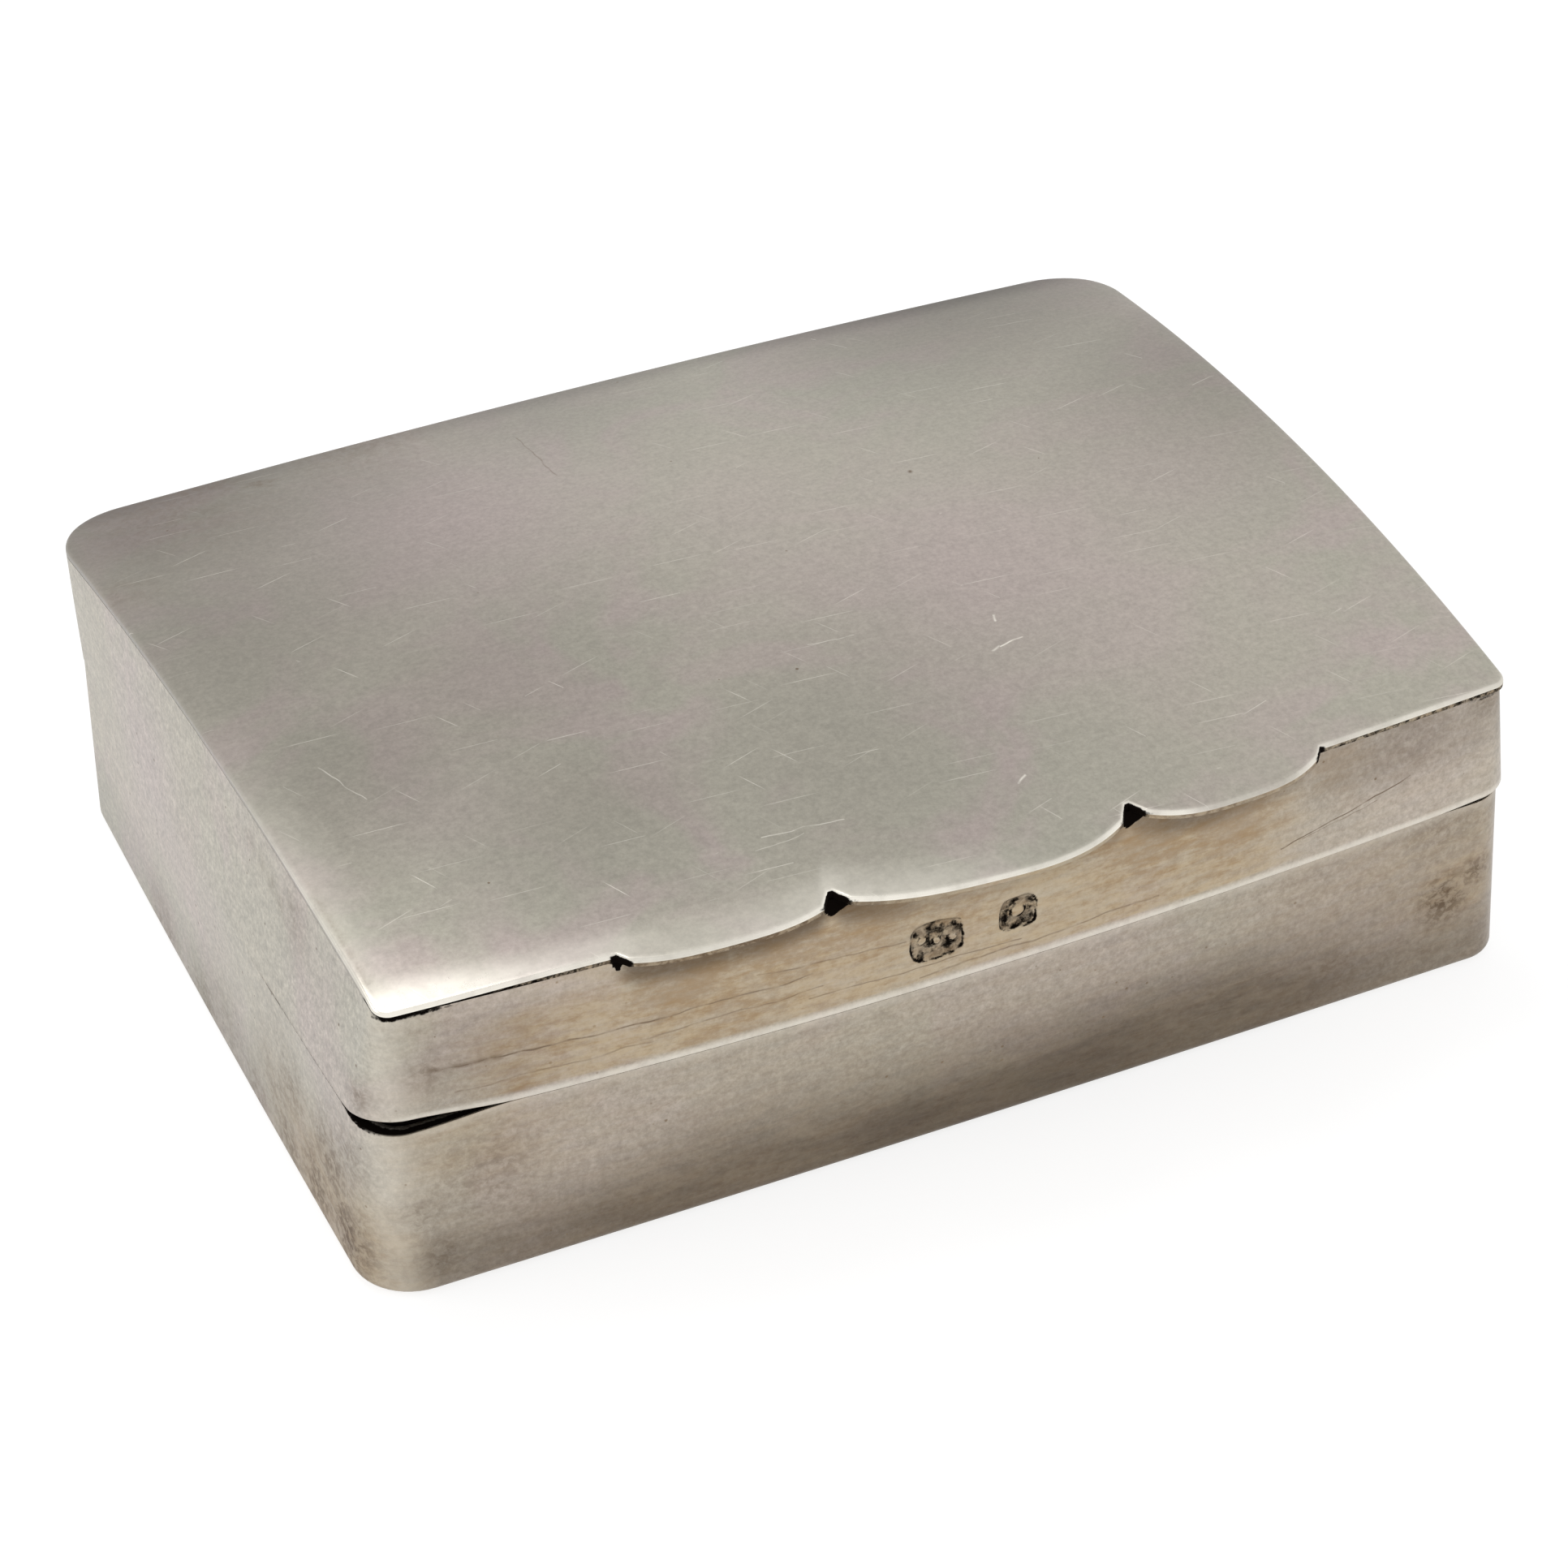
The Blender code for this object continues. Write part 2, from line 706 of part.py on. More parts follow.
def make_knuckles(collection, lid_axis):
    """The barrel's five tubes, in turn fixed to the base and to the lid."""
    pitch = HINGE_LENGTH / len(KNUCKLE_NAMES)
    for place, name in enumerate(KNUCKLE_NAMES):
        length = pitch - KNUCKLE_END_GAP
        profile = tube_profile_mesh(name, BORE_RADIUS, BARREL_RADIUS, length, KNUCKLE_CHAMFER)
        piece = bpy.data.objects.new(name, profile)
        collection.objects.link(piece)
        piece.rotation_euler.y = math.pi / 2
        turned = piece.modifiers.new("turned", "SCREW")
        turned.axis = "Z"
        turned.steps = BARREL_STEPS
        turned.render_steps = BARREL_STEPS
        turned.use_merge_vertices = True
        turned.merge_threshold = MERGE_DISTANCE
        turned.use_smooth_shade = True
        across = (place - (len(KNUCKLE_NAMES) - 1) / 2) * pitch
        if name.startswith("lid"):
            piece.parent = lid_axis
            piece.location = (across, 0, 0)
        else:
            piece.location = (across, HINGE_AXIS.y, HINGE_AXIS.z)
        dress(piece, dark_silver(name + "_silver"))


def make_hinge_pin(collection):
    """The wire that runs through all the knuckles."""
    radius = BORE_RADIUS - PIN_CLEARANCE
    length = HINGE_LENGTH - KNUCKLE_END_GAP
    piece = new_object("hinge_pin", rod_mesh("hinge_pin", radius, length), collection)
    piece.location = HINGE_AXIS
    return dress(piece, dark_silver("pin_silver"))


def clear_scene():
    """Removes whatever the scene starts with."""
    for thing in list(bpy.data.objects):
        bpy.data.objects.remove(thing)


def main():
    """Builds the box from the base up, with the lid carried by an empty on the hinge axis."""
    clear_scene()
    parts = new_collection("snuff_box")
    cutters = new_collection("snuff_box_cutters")
    lid_axis = bpy.data.objects.new("lid_axis", None)
    lid_axis.location = HINGE_AXIS
    lid_axis.empty_display_size = BARREL_RADIUS
    parts.objects.link(lid_axis)
    flute, bevel = make_hinge_cutters(cutters)
    make_base_floor_plate(parts)
    make_base_wall_band(parts, (flute, bevel))
    make_base_bezel(parts, cutters)
    make_base_hinge_bearer(parts, flute)
    make_knuckles(parts, lid_axis)
    make_hinge_pin(parts)
    make_lid_wall_band(parts, (flute, bevel), lid_axis)
    make_lid_hinge_bearer(parts, flute, lid_axis)
    make_lid_top_plate(parts, cutters, lid_axis)


main()
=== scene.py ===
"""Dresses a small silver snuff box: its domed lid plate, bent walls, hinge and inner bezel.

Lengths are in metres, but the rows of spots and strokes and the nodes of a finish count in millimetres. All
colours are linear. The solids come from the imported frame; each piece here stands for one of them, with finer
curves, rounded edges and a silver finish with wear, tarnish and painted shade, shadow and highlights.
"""

import math
from collections import namedtuple
from functools import partial, reduce

import bmesh
import bpy
from bpy.props import FloatProperty, FloatVectorProperty, IntProperty, PointerProperty
from mathutils import Euler, Matrix, Vector, noise


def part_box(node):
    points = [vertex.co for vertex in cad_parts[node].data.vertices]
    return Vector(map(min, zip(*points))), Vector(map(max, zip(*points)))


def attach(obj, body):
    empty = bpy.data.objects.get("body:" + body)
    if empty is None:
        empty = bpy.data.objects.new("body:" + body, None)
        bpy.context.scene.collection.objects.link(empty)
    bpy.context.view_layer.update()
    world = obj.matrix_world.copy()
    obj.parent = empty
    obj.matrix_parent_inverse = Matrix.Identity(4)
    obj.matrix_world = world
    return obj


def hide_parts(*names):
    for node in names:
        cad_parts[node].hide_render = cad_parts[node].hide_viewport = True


bl_info = {
    "name": "Silver Snuff Box",
    "version": (1, 0, 0),
    "blender": (4, 5, 0),
    "location": "View3D > Sidebar > Snuff Box",
    "description": "Dresses a silver snuff box with a hinged, lobed lid and sets it in a pale studio",
    "category": "Object",
}

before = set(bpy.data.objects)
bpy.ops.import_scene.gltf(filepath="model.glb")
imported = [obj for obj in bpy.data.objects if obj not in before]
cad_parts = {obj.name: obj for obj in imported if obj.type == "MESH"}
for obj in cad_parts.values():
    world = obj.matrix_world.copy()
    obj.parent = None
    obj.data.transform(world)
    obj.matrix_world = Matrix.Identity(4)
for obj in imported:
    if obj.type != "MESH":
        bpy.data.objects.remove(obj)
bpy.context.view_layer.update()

LEFT, RIGHT = -1, 1
FRONT, BACK = -1, 1
MERGE_DISTANCE = 1e-7
SHARP_ANGLE = math.radians(38)
FLAT_ANGLE = math.radians(0.5)
FIT_TOLERANCE = 0.25e-3
PER_MILLIMETRE = 1000
MILLIMETRE = 1e-3

# Steps along the outline, across the faces and round the edges. A span is a share of the way and its steps.
FRONT_CORNER_STEPS, BACK_CORNER_STEPS = 12, 14
FRONT_STEPS, PUNCHED_STEPS, LIP_END_STEPS = (200, 190), 110, 36
SIDE_STEPS, BACK_STEPS = 84, 72
LOBE_STEPS, NOTCH_STEPS = 36, 4
TOP_RINGS, UNDER_RINGS = 45, 16
PLATE_EDGE_STEPS, FOOT_STEPS, INNER_EDGE_STEPS = 6, 8, 3
BASE_ROLL_STEPS, LID_ROLL_STEPS = 4, 6
BASE_FACE_SPANS = ((0.85, 34), (1, 12))
LID_FACE_SPANS = ((0.14, 7), (0.66, 42), (1, 26))
INNER_FACE_SPAN = (1, 10)
KNUCKLE_END_STEPS, PIN_END_STEPS = 4, 5

# Planes that strokes lie on, and the depths in millimetres between which they fade in on the front.
TOP_PLANE, FRONT_PLANE = (0, 1), (0, 2)
STROKE_DEPTHS = (-15.0, -16.5)

# Radius of the pits in millimetres, and height of the relief in metres.
PIT_RADIUS = 0.085
RELIEF_HEIGHT = 1.2e-5

# Width of the rounded edges of the inner pieces, and the steps round them.
FLOOR_ROUNDING, INNER_ROUNDING = (0.04e-3, 2), (0.05e-3, 3)

KNUCKLES = (
    ("knuckle_1", "base_knuckle_left", "base"),
    ("knuckle_2", "lid_knuckle_left", "lid"),
    ("knuckle_3", "base_knuckle_centre", "base"),
    ("knuckle_4", "lid_knuckle_right", "lid"),
    ("knuckle_5", "base_knuckle_right", "base"),
)

PunchMark = namedtuple("PunchMark", "x z width height pellets")

PUNCH_MARKS = (
    PunchMark(-1.70e-3, 9.51e-3, 2.10e-3, 1.60e-3, 3),
    PunchMark(1.38e-3, 9.62e-3, 1.50e-3, 1.40e-3, 1),
)
PUNCHED_SPAN = (-3.0e-3, 2.4e-3)
PUNCH_RIPPLE, PUNCH_SHAKE = 0.45e-3, (0.07e-3, 0.09e-3)

Section = namedtuple(
    "Section",
    "half_front half_back front back left_radius right_radius back_radius front_bow side_bow shift",
)

Spot = namedtuple("Spot", "x y z radius strength")
Stroke = namedtuple("Stroke", "start end width strength")
Look = namedtuple("Look", "tones roughness streak brushing thin grain mottle scratches pits pit_spacing")
Hairlines = namedtuple("Hairlines", "cell turn width share")

HAIRLINES = (
    Hairlines((3.2, 1.1, 1.1), 11, 0.026, 0.24),
    Hairlines((2.4, 2.0, 2.0), -22, 0.028, 0.20),
    Hairlines((1.8, 1.7, 1.7), 63, 0.026, 0.14),
)


def fade(value, full, none):
    """A smooth share that is one at the first value and nothing at the second."""
    share = min(max((value - none) / (full - none), 0), 1)
    return share * share * (3 - 2 * share)


def bump_at(value, centre, reach):
    """A smooth share that is one at a centre and dies away over a reach."""
    return math.exp(-(((value - centre) / reach) ** 2))


class Fade(namedtuple("Fade", "full none")):
    """Runs from one at its first value to nothing at its second"""

    def at(self, value):
        return fade(value, self.full, self.none)


class Bump(namedtuple("Bump", "centre reach")):
    """Is one at its centre and dies away over its reach"""

    def at(self, value):
        return bump_at(value, self.centre, self.reach)


class Plateau(namedtuple("Plateau", "centre full none")):
    """Runs from one at its first distance from its centre to nothing at its second"""

    def at(self, value):
        return fade(abs(value - self.centre), self.full, self.none)


class Patch:
    """Part of a shade: its strength, and a bound for each of the values that it is looked up by"""

    def __init__(self, strength, *bounds):
        self.strength, self.bounds = strength, bounds

    def at(self, *values):
        return self.strength * math.prod(bound.at(value) for bound, value in zip(self.bounds, values))


def spots(*rows):
    """Round spots from rows of place and radius in millimetres, and strength."""
    return [Spot(*[value * MILLIMETRE for value in row[:4]], row[4]) for row in rows]


def strokes(*rows):
    """Straight strokes from rows of start, end and width in millimetres, and strength."""
    return [Stroke((x0, y0), (x1, y1), width, strength) for x0, y0, x1, y1, width, strength in rows]


def stations(*rows):
    """(x, share) pairs from rows of a place along the front in millimetres, and a share."""
    return [(x * MILLIMETRE, share) for x, share in rows]


def length(name, description, default):
    """A length that shows in the sidebar in the scene's unit."""
    return FloatProperty(
        name=name, description=description, default=default, min=0, precision=5, unit="LENGTH"
    )


def colour(name, description, default):
    """A linear colour that shows in the sidebar as a swatch."""
    return FloatVectorProperty(
        name=name, description=description, default=default, min=0, max=1, subtype="COLOR"
    )


class SnuffBoxSizes(bpy.types.PropertyGroup):
    """Sizes of the box's plates, walls and hinge"""

    box_length: length("Length", "Length of the box at its foot", 45.0e-3)
    box_depth: length("Depth", "Depth of the box at its foot", 34.2e-3)
    split_height: length("Split height", "Height of the split between base and lid", 7.6e-3)
    split_gap: length("Split gap", "Gap between the two rims", 0.008e-3)
    rim_rise: length("Lid rise", "Height of the lid's wall above the split", 5.0e-3)
    dome_rise: length("Dome rise", "Rise of the lid plate from front to middle", 1.3e-3)
    crown_rise: length("Crown rise", "Rise of the lid plate from the sides to the middle", 0.4e-3)

    wall: length("Wall", "Thickness of the walls", 0.55e-3)
    plate: length("Plate", "Thickness of the lid plate", 0.35e-3)
    seam: length("Solder seam", "Gap that stands for a solder seam", 0.006e-3)
    plate_edge: length("Plate edge", "Rounding of the plate's upper edge", 0.13e-3)
    plate_burr: length("Plate burr", "Rounding of the plate's lower edge", 0.03e-3)
    rim_edge: length("Rim edge", "Rounding of both rims where they meet", 0.015e-3)
    sprung_edge: length("Sprung edge", "Rounding of both rims at the sprung left corner", 0.11e-3)
    inner_edge: length("Inner edge", "Rounding of the walls' inner edges", 0.05e-3)
    foot_edge: length("Foot edge", "Rounding of the base wall's foot", 0.45e-3)

    foot_radius: length("Foot corners", "Radius of the plan's corners at the foot", 2.3e-3)
    foot_right_radius: length("Right foot corner", "Radius of the right front corner", 1.5e-3)
    foot_right_draw_in: length("Right foot draw-in", "How far the foot's right side lies in", 0.22e-3)
    foot_bow: length("Foot bow", "Bow of the front at the foot", 0.15e-3)
    foot_side_bow: length("Foot side bow", "Bow of the sides at the foot", 0.0998e-3)
    rim_draw_in: length("Rim draw-in", "How far the rims lie inside the foot", 0.31e-3)
    rim_front_radius: length("Rim front corners", "Radius of the front corners at the split", 1.8e-3)
    rim_back_radius: length("Rim back corners", "Radius of the back corners at the split", 2.4e-3)
    rim_bow: length("Rim bow", "Bow of the front at the split", 1.11e-3)
    rim_side_bow: length("Rim side bow", "Bow of the sides at the split", 0.36e-3)
    left_overhang: length("Left overhang", "How far the lid overhangs the base at the left", 0.03e-3)
    right_overhang: length("Right overhang", "How far the lid overhangs the base at the right", 0.20e-3)
    crest_draw_in: length("Crest draw-in", "How far the front corners draw in under the plate", 1.13e-3)
    crest_flare: length("Crest flare", "How far the back corners flare out under the plate", 0.02e-3)
    crest_lean: length("Crest lean", "How far the lid's back leans in under the plate", 0.15e-3)
    crest_front_radius: length("Crest front corners", "Radius of the lid's upper front corners", 0.7e-3)
    crest_back_radius: length("Crest back corners", "Radius of the lid's upper back corners", 2.8e-3)
    crest_side_bow: length("Crest side bow", "Bow of the sides under the plate", 0.04e-3)

    left_spring_length: length("Left spring length", "Reach of the left sprung corner", 4.6e-3)
    left_spring_return: length("Left spring return", "Its reach along the side", 2.4e-3)
    left_spring_dip: length("Left spring dip", "How far the base rim dips there", 0.40e-3)
    left_spring_lift: length("Left spring lift", "How far the lid rim lifts there", 0.20e-3)
    right_spring_length: length("Right spring length", "Reach of the right sprung corner", 2.8e-3)
    right_spring_return: length("Right spring return", "Its reach along the side", 1.6e-3)
    right_spring_dip: length("Right spring dip", "How far the base rim dips there", 0.10e-3)
    right_spring_lift: length("Right spring lift", "How far the lid rim lifts there", 0.05e-3)


class SnuffBoxLip(bpy.types.PropertyGroup):
    """Sizes of the lobed thumb lip and of the two punch marks under it"""

    overhang: length("Overhang", "How far the plate stands proud of the wall in front", 0.19e-3)
    corner_radius: length("Corner radius", "Radius of the plate's front corners", 0.62e-3)
    centre_width: length("Centre lobe width", "Width of the middle lobe", 10.2e-3)
    centre_reach: length("Centre lobe reach", "How far the middle lobe stands out", 1.21e-3)
    side_width: length("Side lobe width", "Width of each side lobe", 6.9e-3)
    left_reach: length("Left lobe reach", "How far the left lobe stands out", 0.76e-3)
    right_reach: length("Right lobe reach", "How far the right lobe stands out", 1.07e-3)
    root_reach: length("Root reach", "How far the lobes' roots stand out", 0.35e-3)
    centre_lean: length("Centre lobe lean", "How much fuller the middle lobe is at its right", 0.24e-3)
    fullness: FloatProperty(
        name="Fullness", description="Power of the lobes' curve, two for a round one", default=3, min=2
    )
    notch_width: length("Notch width", "Width of the notches between the lobes", 0.98e-3)
    notch_floor: length("Notch floor", "Width of the notches' floor", 0.12e-3)
    notch_depth: length("Notch depth", "Depth of the notches", 0.24e-3)
    step_width: length("Step width", "Width of the step at both ends of the lip", 0.30e-3)
    corner_droop: length("Corner droop", "How far wear has rounded off the left front corner", 0.16e-3)
    side_droop: length("Side droop", "How far wear has rounded off the plate's edges", 0.05e-3)
    unevenness: length("Unevenness", "Height of the plate's shallow waves", 0.012e-3)
    wave_length: length("Wave length", "Distance between the plate's shallow waves", 7.0e-3)
    punch_depth: length("Punch depth", "How deep the two punch marks are struck", 0.10e-3)


class SnuffBoxHinge(bpy.types.PropertyGroup):
    """Sizes of the hinge"""

    barrel_radius: length("Barrel radius", "Outer radius of the knuckles", 0.85e-3)
    bore_radius: length("Bore radius", "Radius of the knuckles' bores", 0.45e-3)
    pin_radius: length("Pin radius", "Radius of the pin", 0.41e-3)
    flute_clearance: length("Flute clearance", "Gap between the barrel and its flutes", 0.05e-3)
    end_edge: length("End edge", "Rounding of the knuckles' ends", 0.06e-3)
    inset: length("Inset", "How far the axis lies inside the back", 0.5e-3)
    stop_angle: FloatProperty(
        name="Stop angle",
        description="Angle at which the open lid meets the base",
        default=math.radians(110),
        subtype="ANGLE",
        unit="ROTATION",
    )
    turns: IntProperty(name="Facets", description="Facets around the barrel", default=72, min=12)


class SnuffBoxColours(bpy.types.PropertyGroup):
    """Colours of the silver and of what age has left on it"""

    silver: colour("Silver", "Clean satin silver", (0.424, 0.392, 0.334))
    cool: colour("Cool cloud", "Greenish cast of the silver", (0.402, 0.386, 0.324))
    warm: colour("Warm cloud", "Mauve cast of the silver", (0.440, 0.378, 0.352))
    wall: colour("Wall silver", "Satin silver of the walls", (0.478, 0.440, 0.378))
    wall_cool: colour("Cool wall cloud", "Greenish cast of the walls", (0.466, 0.445, 0.384))
    wall_warm: colour("Warm wall cloud", "Mauve cast of the walls", (0.490, 0.434, 0.406))
    # Also the colour of painted highlights along the edges and at the left front corner
    bright: colour("Rubbed silver", "Silver rubbed bright at the edges", (0.91, 0.87, 0.78))
    tarnish: colour("Tarnish", "Yellow-brown tarnish under the lip", (0.505, 0.404, 0.272))
    dark_tarnish: colour("Dark tarnish", "Darker brown of the tarnish", (0.360, 0.250, 0.142))
    # Painted shade: a grey-brown darkening, as a share of the silver's colour, that stands in for shade and
    # dim reflections
    film: colour("Film", "Thin grey-brown film, as a share of the silver's colour", (0.22, 0.205, 0.205))
    # Also the colour of painted shade under the lip, along the split at the left and on the plate's front edge
    stain: colour("Stain", "Dark brown stains", (0.135, 0.090, 0.055))
    # Also the colour of painted shadow in gaps, notches and under the plate's edge
    grime: colour("Grime", "Black grime in the recesses", (0.006, 0.004, 0.003))
    inner: colour("Inner silver", "Dull silver inside and at the hinge", (0.36, 0.335, 0.29))


# Plan sections


def foot_section(sizes):
    """Plan of the base wall's outer face where it stands, drawn in a little at its right."""
    half = (sizes.box_length - sizes.foot_right_draw_in) / 2
    return Section(
        half_front=half,
        half_back=half,
        front=sizes.box_depth / 2,
        back=sizes.box_depth / 2,
        left_radius=sizes.foot_radius,
        right_radius=sizes.foot_right_radius,
        back_radius=sizes.foot_radius,
        front_bow=sizes.foot_bow,
        side_bow=sizes.foot_side_bow,
        shift=-sizes.foot_right_draw_in / 2,
    )


def even_foot_section(sizes):
    """The foot's plan without its draw-in at the right, which the wall's inner face follows."""
    half = sizes.box_length / 2
    return foot_section(sizes)._replace(
        half_front=half, half_back=half, right_radius=sizes.foot_radius, shift=0
    )


def lid_rim_section(sizes):
    """Plan of the lid wall's outer face at its lower edge."""
    half = sizes.box_length / 2 - sizes.rim_draw_in
    return even_foot_section(sizes)._replace(
        half_front=half,
        half_back=half,
        left_radius=sizes.rim_front_radius,
        right_radius=sizes.rim_front_radius,
        back_radius=sizes.rim_back_radius,
        front_bow=sizes.rim_bow,
        side_bow=sizes.rim_side_bow,
    )


def base_rim_section(sizes):
    """Plan of the base wall's outer face at its rim, which the lid overhangs, more at the right."""
    rim = lid_rim_section(sizes)
    half = rim.half_front - (sizes.left_overhang + sizes.right_overhang) / 2
    shift = (sizes.left_overhang - sizes.right_overhang) / 2
    return rim._replace(half_front=half, half_back=half, shift=shift)


def crest_section(sizes):
    """Plan of the lid wall's outer face under the plate."""
    return lid_rim_section(sizes)._replace(
        half_front=sizes.box_length / 2 - sizes.crest_draw_in,
        half_back=sizes.box_length / 2 + sizes.crest_flare,
        back=sizes.box_depth / 2 - sizes.crest_lean,
        left_radius=sizes.crest_front_radius,
        right_radius=sizes.crest_front_radius,
        back_radius=sizes.crest_back_radius,
        side_bow=sizes.crest_side_bow,
    )


def plate_section(sizes, lip):
    """Plan of the lid plate, proud of the wall in front."""
    crest = crest_section(sizes)
    return crest._replace(
        front=crest.front + lip.overhang,
        left_radius=lip.corner_radius,
        right_radius=lip.corner_radius,
    )


def mixed(lower, upper, share):
    """The section that lies this share of the way from the lower one to the upper one."""
    return Section(*(low + (high - low) * share for low, high in zip(lower, upper)))


def front_edge(section, x):
    """Y of the bowed front at a place along the length."""
    return -section.front - section.front_bow * (1 - (x / section.half_front) ** 2)


def side_edge(section, y):
    """Half length of the plan at a place along its depth."""
    along = (y + section.front) / (section.front + section.back)
    straight = section.half_front + (section.half_back - section.half_front) * along
    return straight + section.side_bow * 4 * along * (1 - along)


def corner_arc(section, side, end, steps):
    """Points of one plan corner, from the front or back edge round to the side."""
    depth = section.front + section.back
    taper = (section.half_back - section.half_front) / depth
    side_slope = 4 * section.side_bow / depth
    if end == FRONT:
        corner = Vector((side * section.half_front, -section.front))
        along_end = Vector((-side, -2 * section.front_bow / section.half_front))
        along_side = Vector((side * (side_slope + taper), 1))
        radius = section.left_radius if side == LEFT else section.right_radius
    else:
        corner = Vector((side * section.half_back, section.back))
        along_end = Vector((-side, 0))
        along_side = Vector((side * (side_slope - taper), -1))
        radius = section.back_radius
    along_end.normalize()
    along_side.normalize()
    half_angle = along_end.angle(along_side) / 2
    centre = corner + (along_end + along_side).normalized() * radius / math.sin(half_angle)
    tangent = radius / math.tan(half_angle)
    start = corner + along_end * tangent - centre
    sweep = start.angle_signed(corner + along_side * tangent - centre)
    turns = [Matrix.Rotation(-sweep * step / steps, 2) for step in range(steps + 1)]
    return [centre + turn @ start for turn in turns]


def between(start, end, steps):
    """Evenly spaced values between two ends, without the ends."""
    return [start + (end - start) * step / steps for step in range(1, steps)]


def plain_front(section, start, end):
    """Points of a plain bowed front edge between two corners, closest where the punch marks are."""
    left, right = PUNCHED_SPAN
    stations = between(start.x, left, FRONT_STEPS[0]) + [left] + between(left, right, PUNCHED_STEPS)
    stations += [right] + between(right, end.x, FRONT_STEPS[1])
    return [Vector((x, front_edge(section, x))) for x in stations]


def lobe_points(lip, centre, width, tip, lean=0):
    """(x, reach) pairs along one lobe, nearly straight in its middle and perhaps fuller at its right."""
    pairs = []
    for step in range(LOBE_STEPS + 1):
        side = 2 * step / LOBE_STEPS - 1
        fall = (tip - lip.root_reach) * abs(side) ** lip.fullness
        pairs.append((centre + side * width / 2, tip - fall + lean * side * (1.25 - side**2)))
    return pairs


def softened(pairs, steps):
    """(x, reach) pairs with extra points between each two, so that short straights carry detail."""
    filled = []
    for (x0, reach0), (x1, reach1) in zip(pairs, pairs[1:]):
        shares = [step / steps for step in range(steps)]
        filled += [(x0 + (x1 - x0) * share, reach0 + (reach1 - reach0) * share) for share in shares]
    return filled + [pairs[-1]]


def notch(lip, centre, before, after):
    """(x, reach) pairs of one notch between the ends of two lobes."""
    half = lip.notch_floor / 2
    floor = [(centre - half, -lip.notch_depth), (centre + half, -lip.notch_depth)]
    return softened([before, *floor, after], NOTCH_STEPS)[1:-1]


def lip_profile(lip):
    """(x, reach) pairs of the thumb lip from left to right, measured from the plain front edge."""
    gap = (lip.centre_width + lip.notch_width) / 2
    side = lip.centre_width / 2 + lip.notch_width + lip.side_width / 2
    left = lobe_points(lip, -side, lip.side_width, lip.left_reach)
    centre = lobe_points(lip, 0, lip.centre_width, lip.centre_reach, lip.centre_lean)
    right = lobe_points(lip, side, lip.side_width, lip.right_reach)
    end = side + lip.side_width / 2 + lip.step_width
    pairs = softened([(-end, 0), left[0]], NOTCH_STEPS)[:-1] + left
    pairs += notch(lip, -gap, left[-1], centre[0]) + centre
    pairs += notch(lip, gap, centre[-1], right[0]) + right
    return pairs + softened([right[-1], (end, 0)], NOTCH_STEPS)[1:]


def lobed_front(lip):
    """A maker of the plate's front edge: plain at both ends, with the lip in its middle."""

    def points(section, start, end):
        profile = lip_profile(lip)
        left = between(start.x, profile[0][0], LIP_END_STEPS)
        right = between(profile[-1][0], end.x, LIP_END_STEPS)
        pairs = [(x, 0) for x in left] + profile + [(x, 0) for x in right]
        return [Vector((x, front_edge(section, x) - reach)) for x, reach in pairs]

    return points


def outline(section, front_points=plain_front):
    """Plan outline of a section, anticlockwise from the left front corner."""
    left_front = corner_arc(section, LEFT, FRONT, FRONT_CORNER_STEPS)[::-1]
    right_front = corner_arc(section, RIGHT, FRONT, FRONT_CORNER_STEPS)
    right_back = corner_arc(section, RIGHT, BACK, BACK_CORNER_STEPS)[::-1]
    left_back = corner_arc(section, LEFT, BACK, BACK_CORNER_STEPS)
    right = between(right_front[-1].y, right_back[0].y, SIDE_STEPS)
    back = between(right_back[-1].x, left_back[0].x, BACK_STEPS)
    left = between(left_back[-1].y, left_front[0].y, SIDE_STEPS)
    points = left_front + front_points(section, left_front[-1], right_front[0])
    points += right_front + [Vector((side_edge(section, y), y)) for y in right]
    points += right_back + [Vector((x, section.back)) for x in back]
    points += left_back + [Vector((-side_edge(section, y), y)) for y in left]
    return [point + Vector((section.shift, 0)) for point in points]


def drawn_in(points, distance):
    """An outline moved inwards by a distance, or by the distance that a function gives at each point."""
    moved = []
    for before, point, after in zip(points[-1:] + points[:-1], points, points[1:] + points[:1]):
        first = (point - before).normalized()
        second = (after - point).normalized()
        inward = Vector((-first.y - second.y, first.x + second.x)).normalized()
        spread = max(inward.dot(Vector((-first.y, first.x))), 0.7)
        reach = distance(point) if callable(distance) else distance
        moved.append(point + inward * reach / spread)
    return moved


# Heights


def dome_height(sizes, x, y):
    """Height of the lid plate's upper face before wear."""
    dome = sizes.dome_rise * (1 - (2 * y / sizes.box_depth) ** 2)
    crown = sizes.crown_rise * (1 - (2 * x / sizes.box_length) ** 2)
    return sizes.split_height + sizes.rim_rise + dome + crown


def sprung(sizes, x, y, left_amount, right_amount):
    """How far a rim has sprung at a place near one of the front corners."""
    rim = lid_rim_section(sizes)
    corners = (
        (LEFT, sizes.left_spring_length, sizes.left_spring_return, left_amount),
        (RIGHT, sizes.right_spring_length, sizes.right_spring_return, right_amount),
    )
    total = 0
    for side, reach, corner_return, amount in corners:
        along = (x - side * (rim.half_front - rim.left_radius / 2)) / reach
        across = (y + rim.front) / corner_return
        total += amount * max(1 - along**2 - across**2, 0) ** 2
    return total


def base_rim_height(sizes, x, y):
    """Height of the base rim, which dips at the sprung corners."""
    dip = sprung(sizes, x, y, sizes.left_spring_dip, sizes.right_spring_dip)
    return sizes.split_height - dip


def lid_rim_height(sizes, x, y):
    """Height of the lid wall's lower edge, which lifts at the sprung corners."""
    lift = sprung(sizes, x, y, sizes.left_spring_lift, sizes.right_spring_lift)
    return sizes.split_height + sizes.split_gap + lift


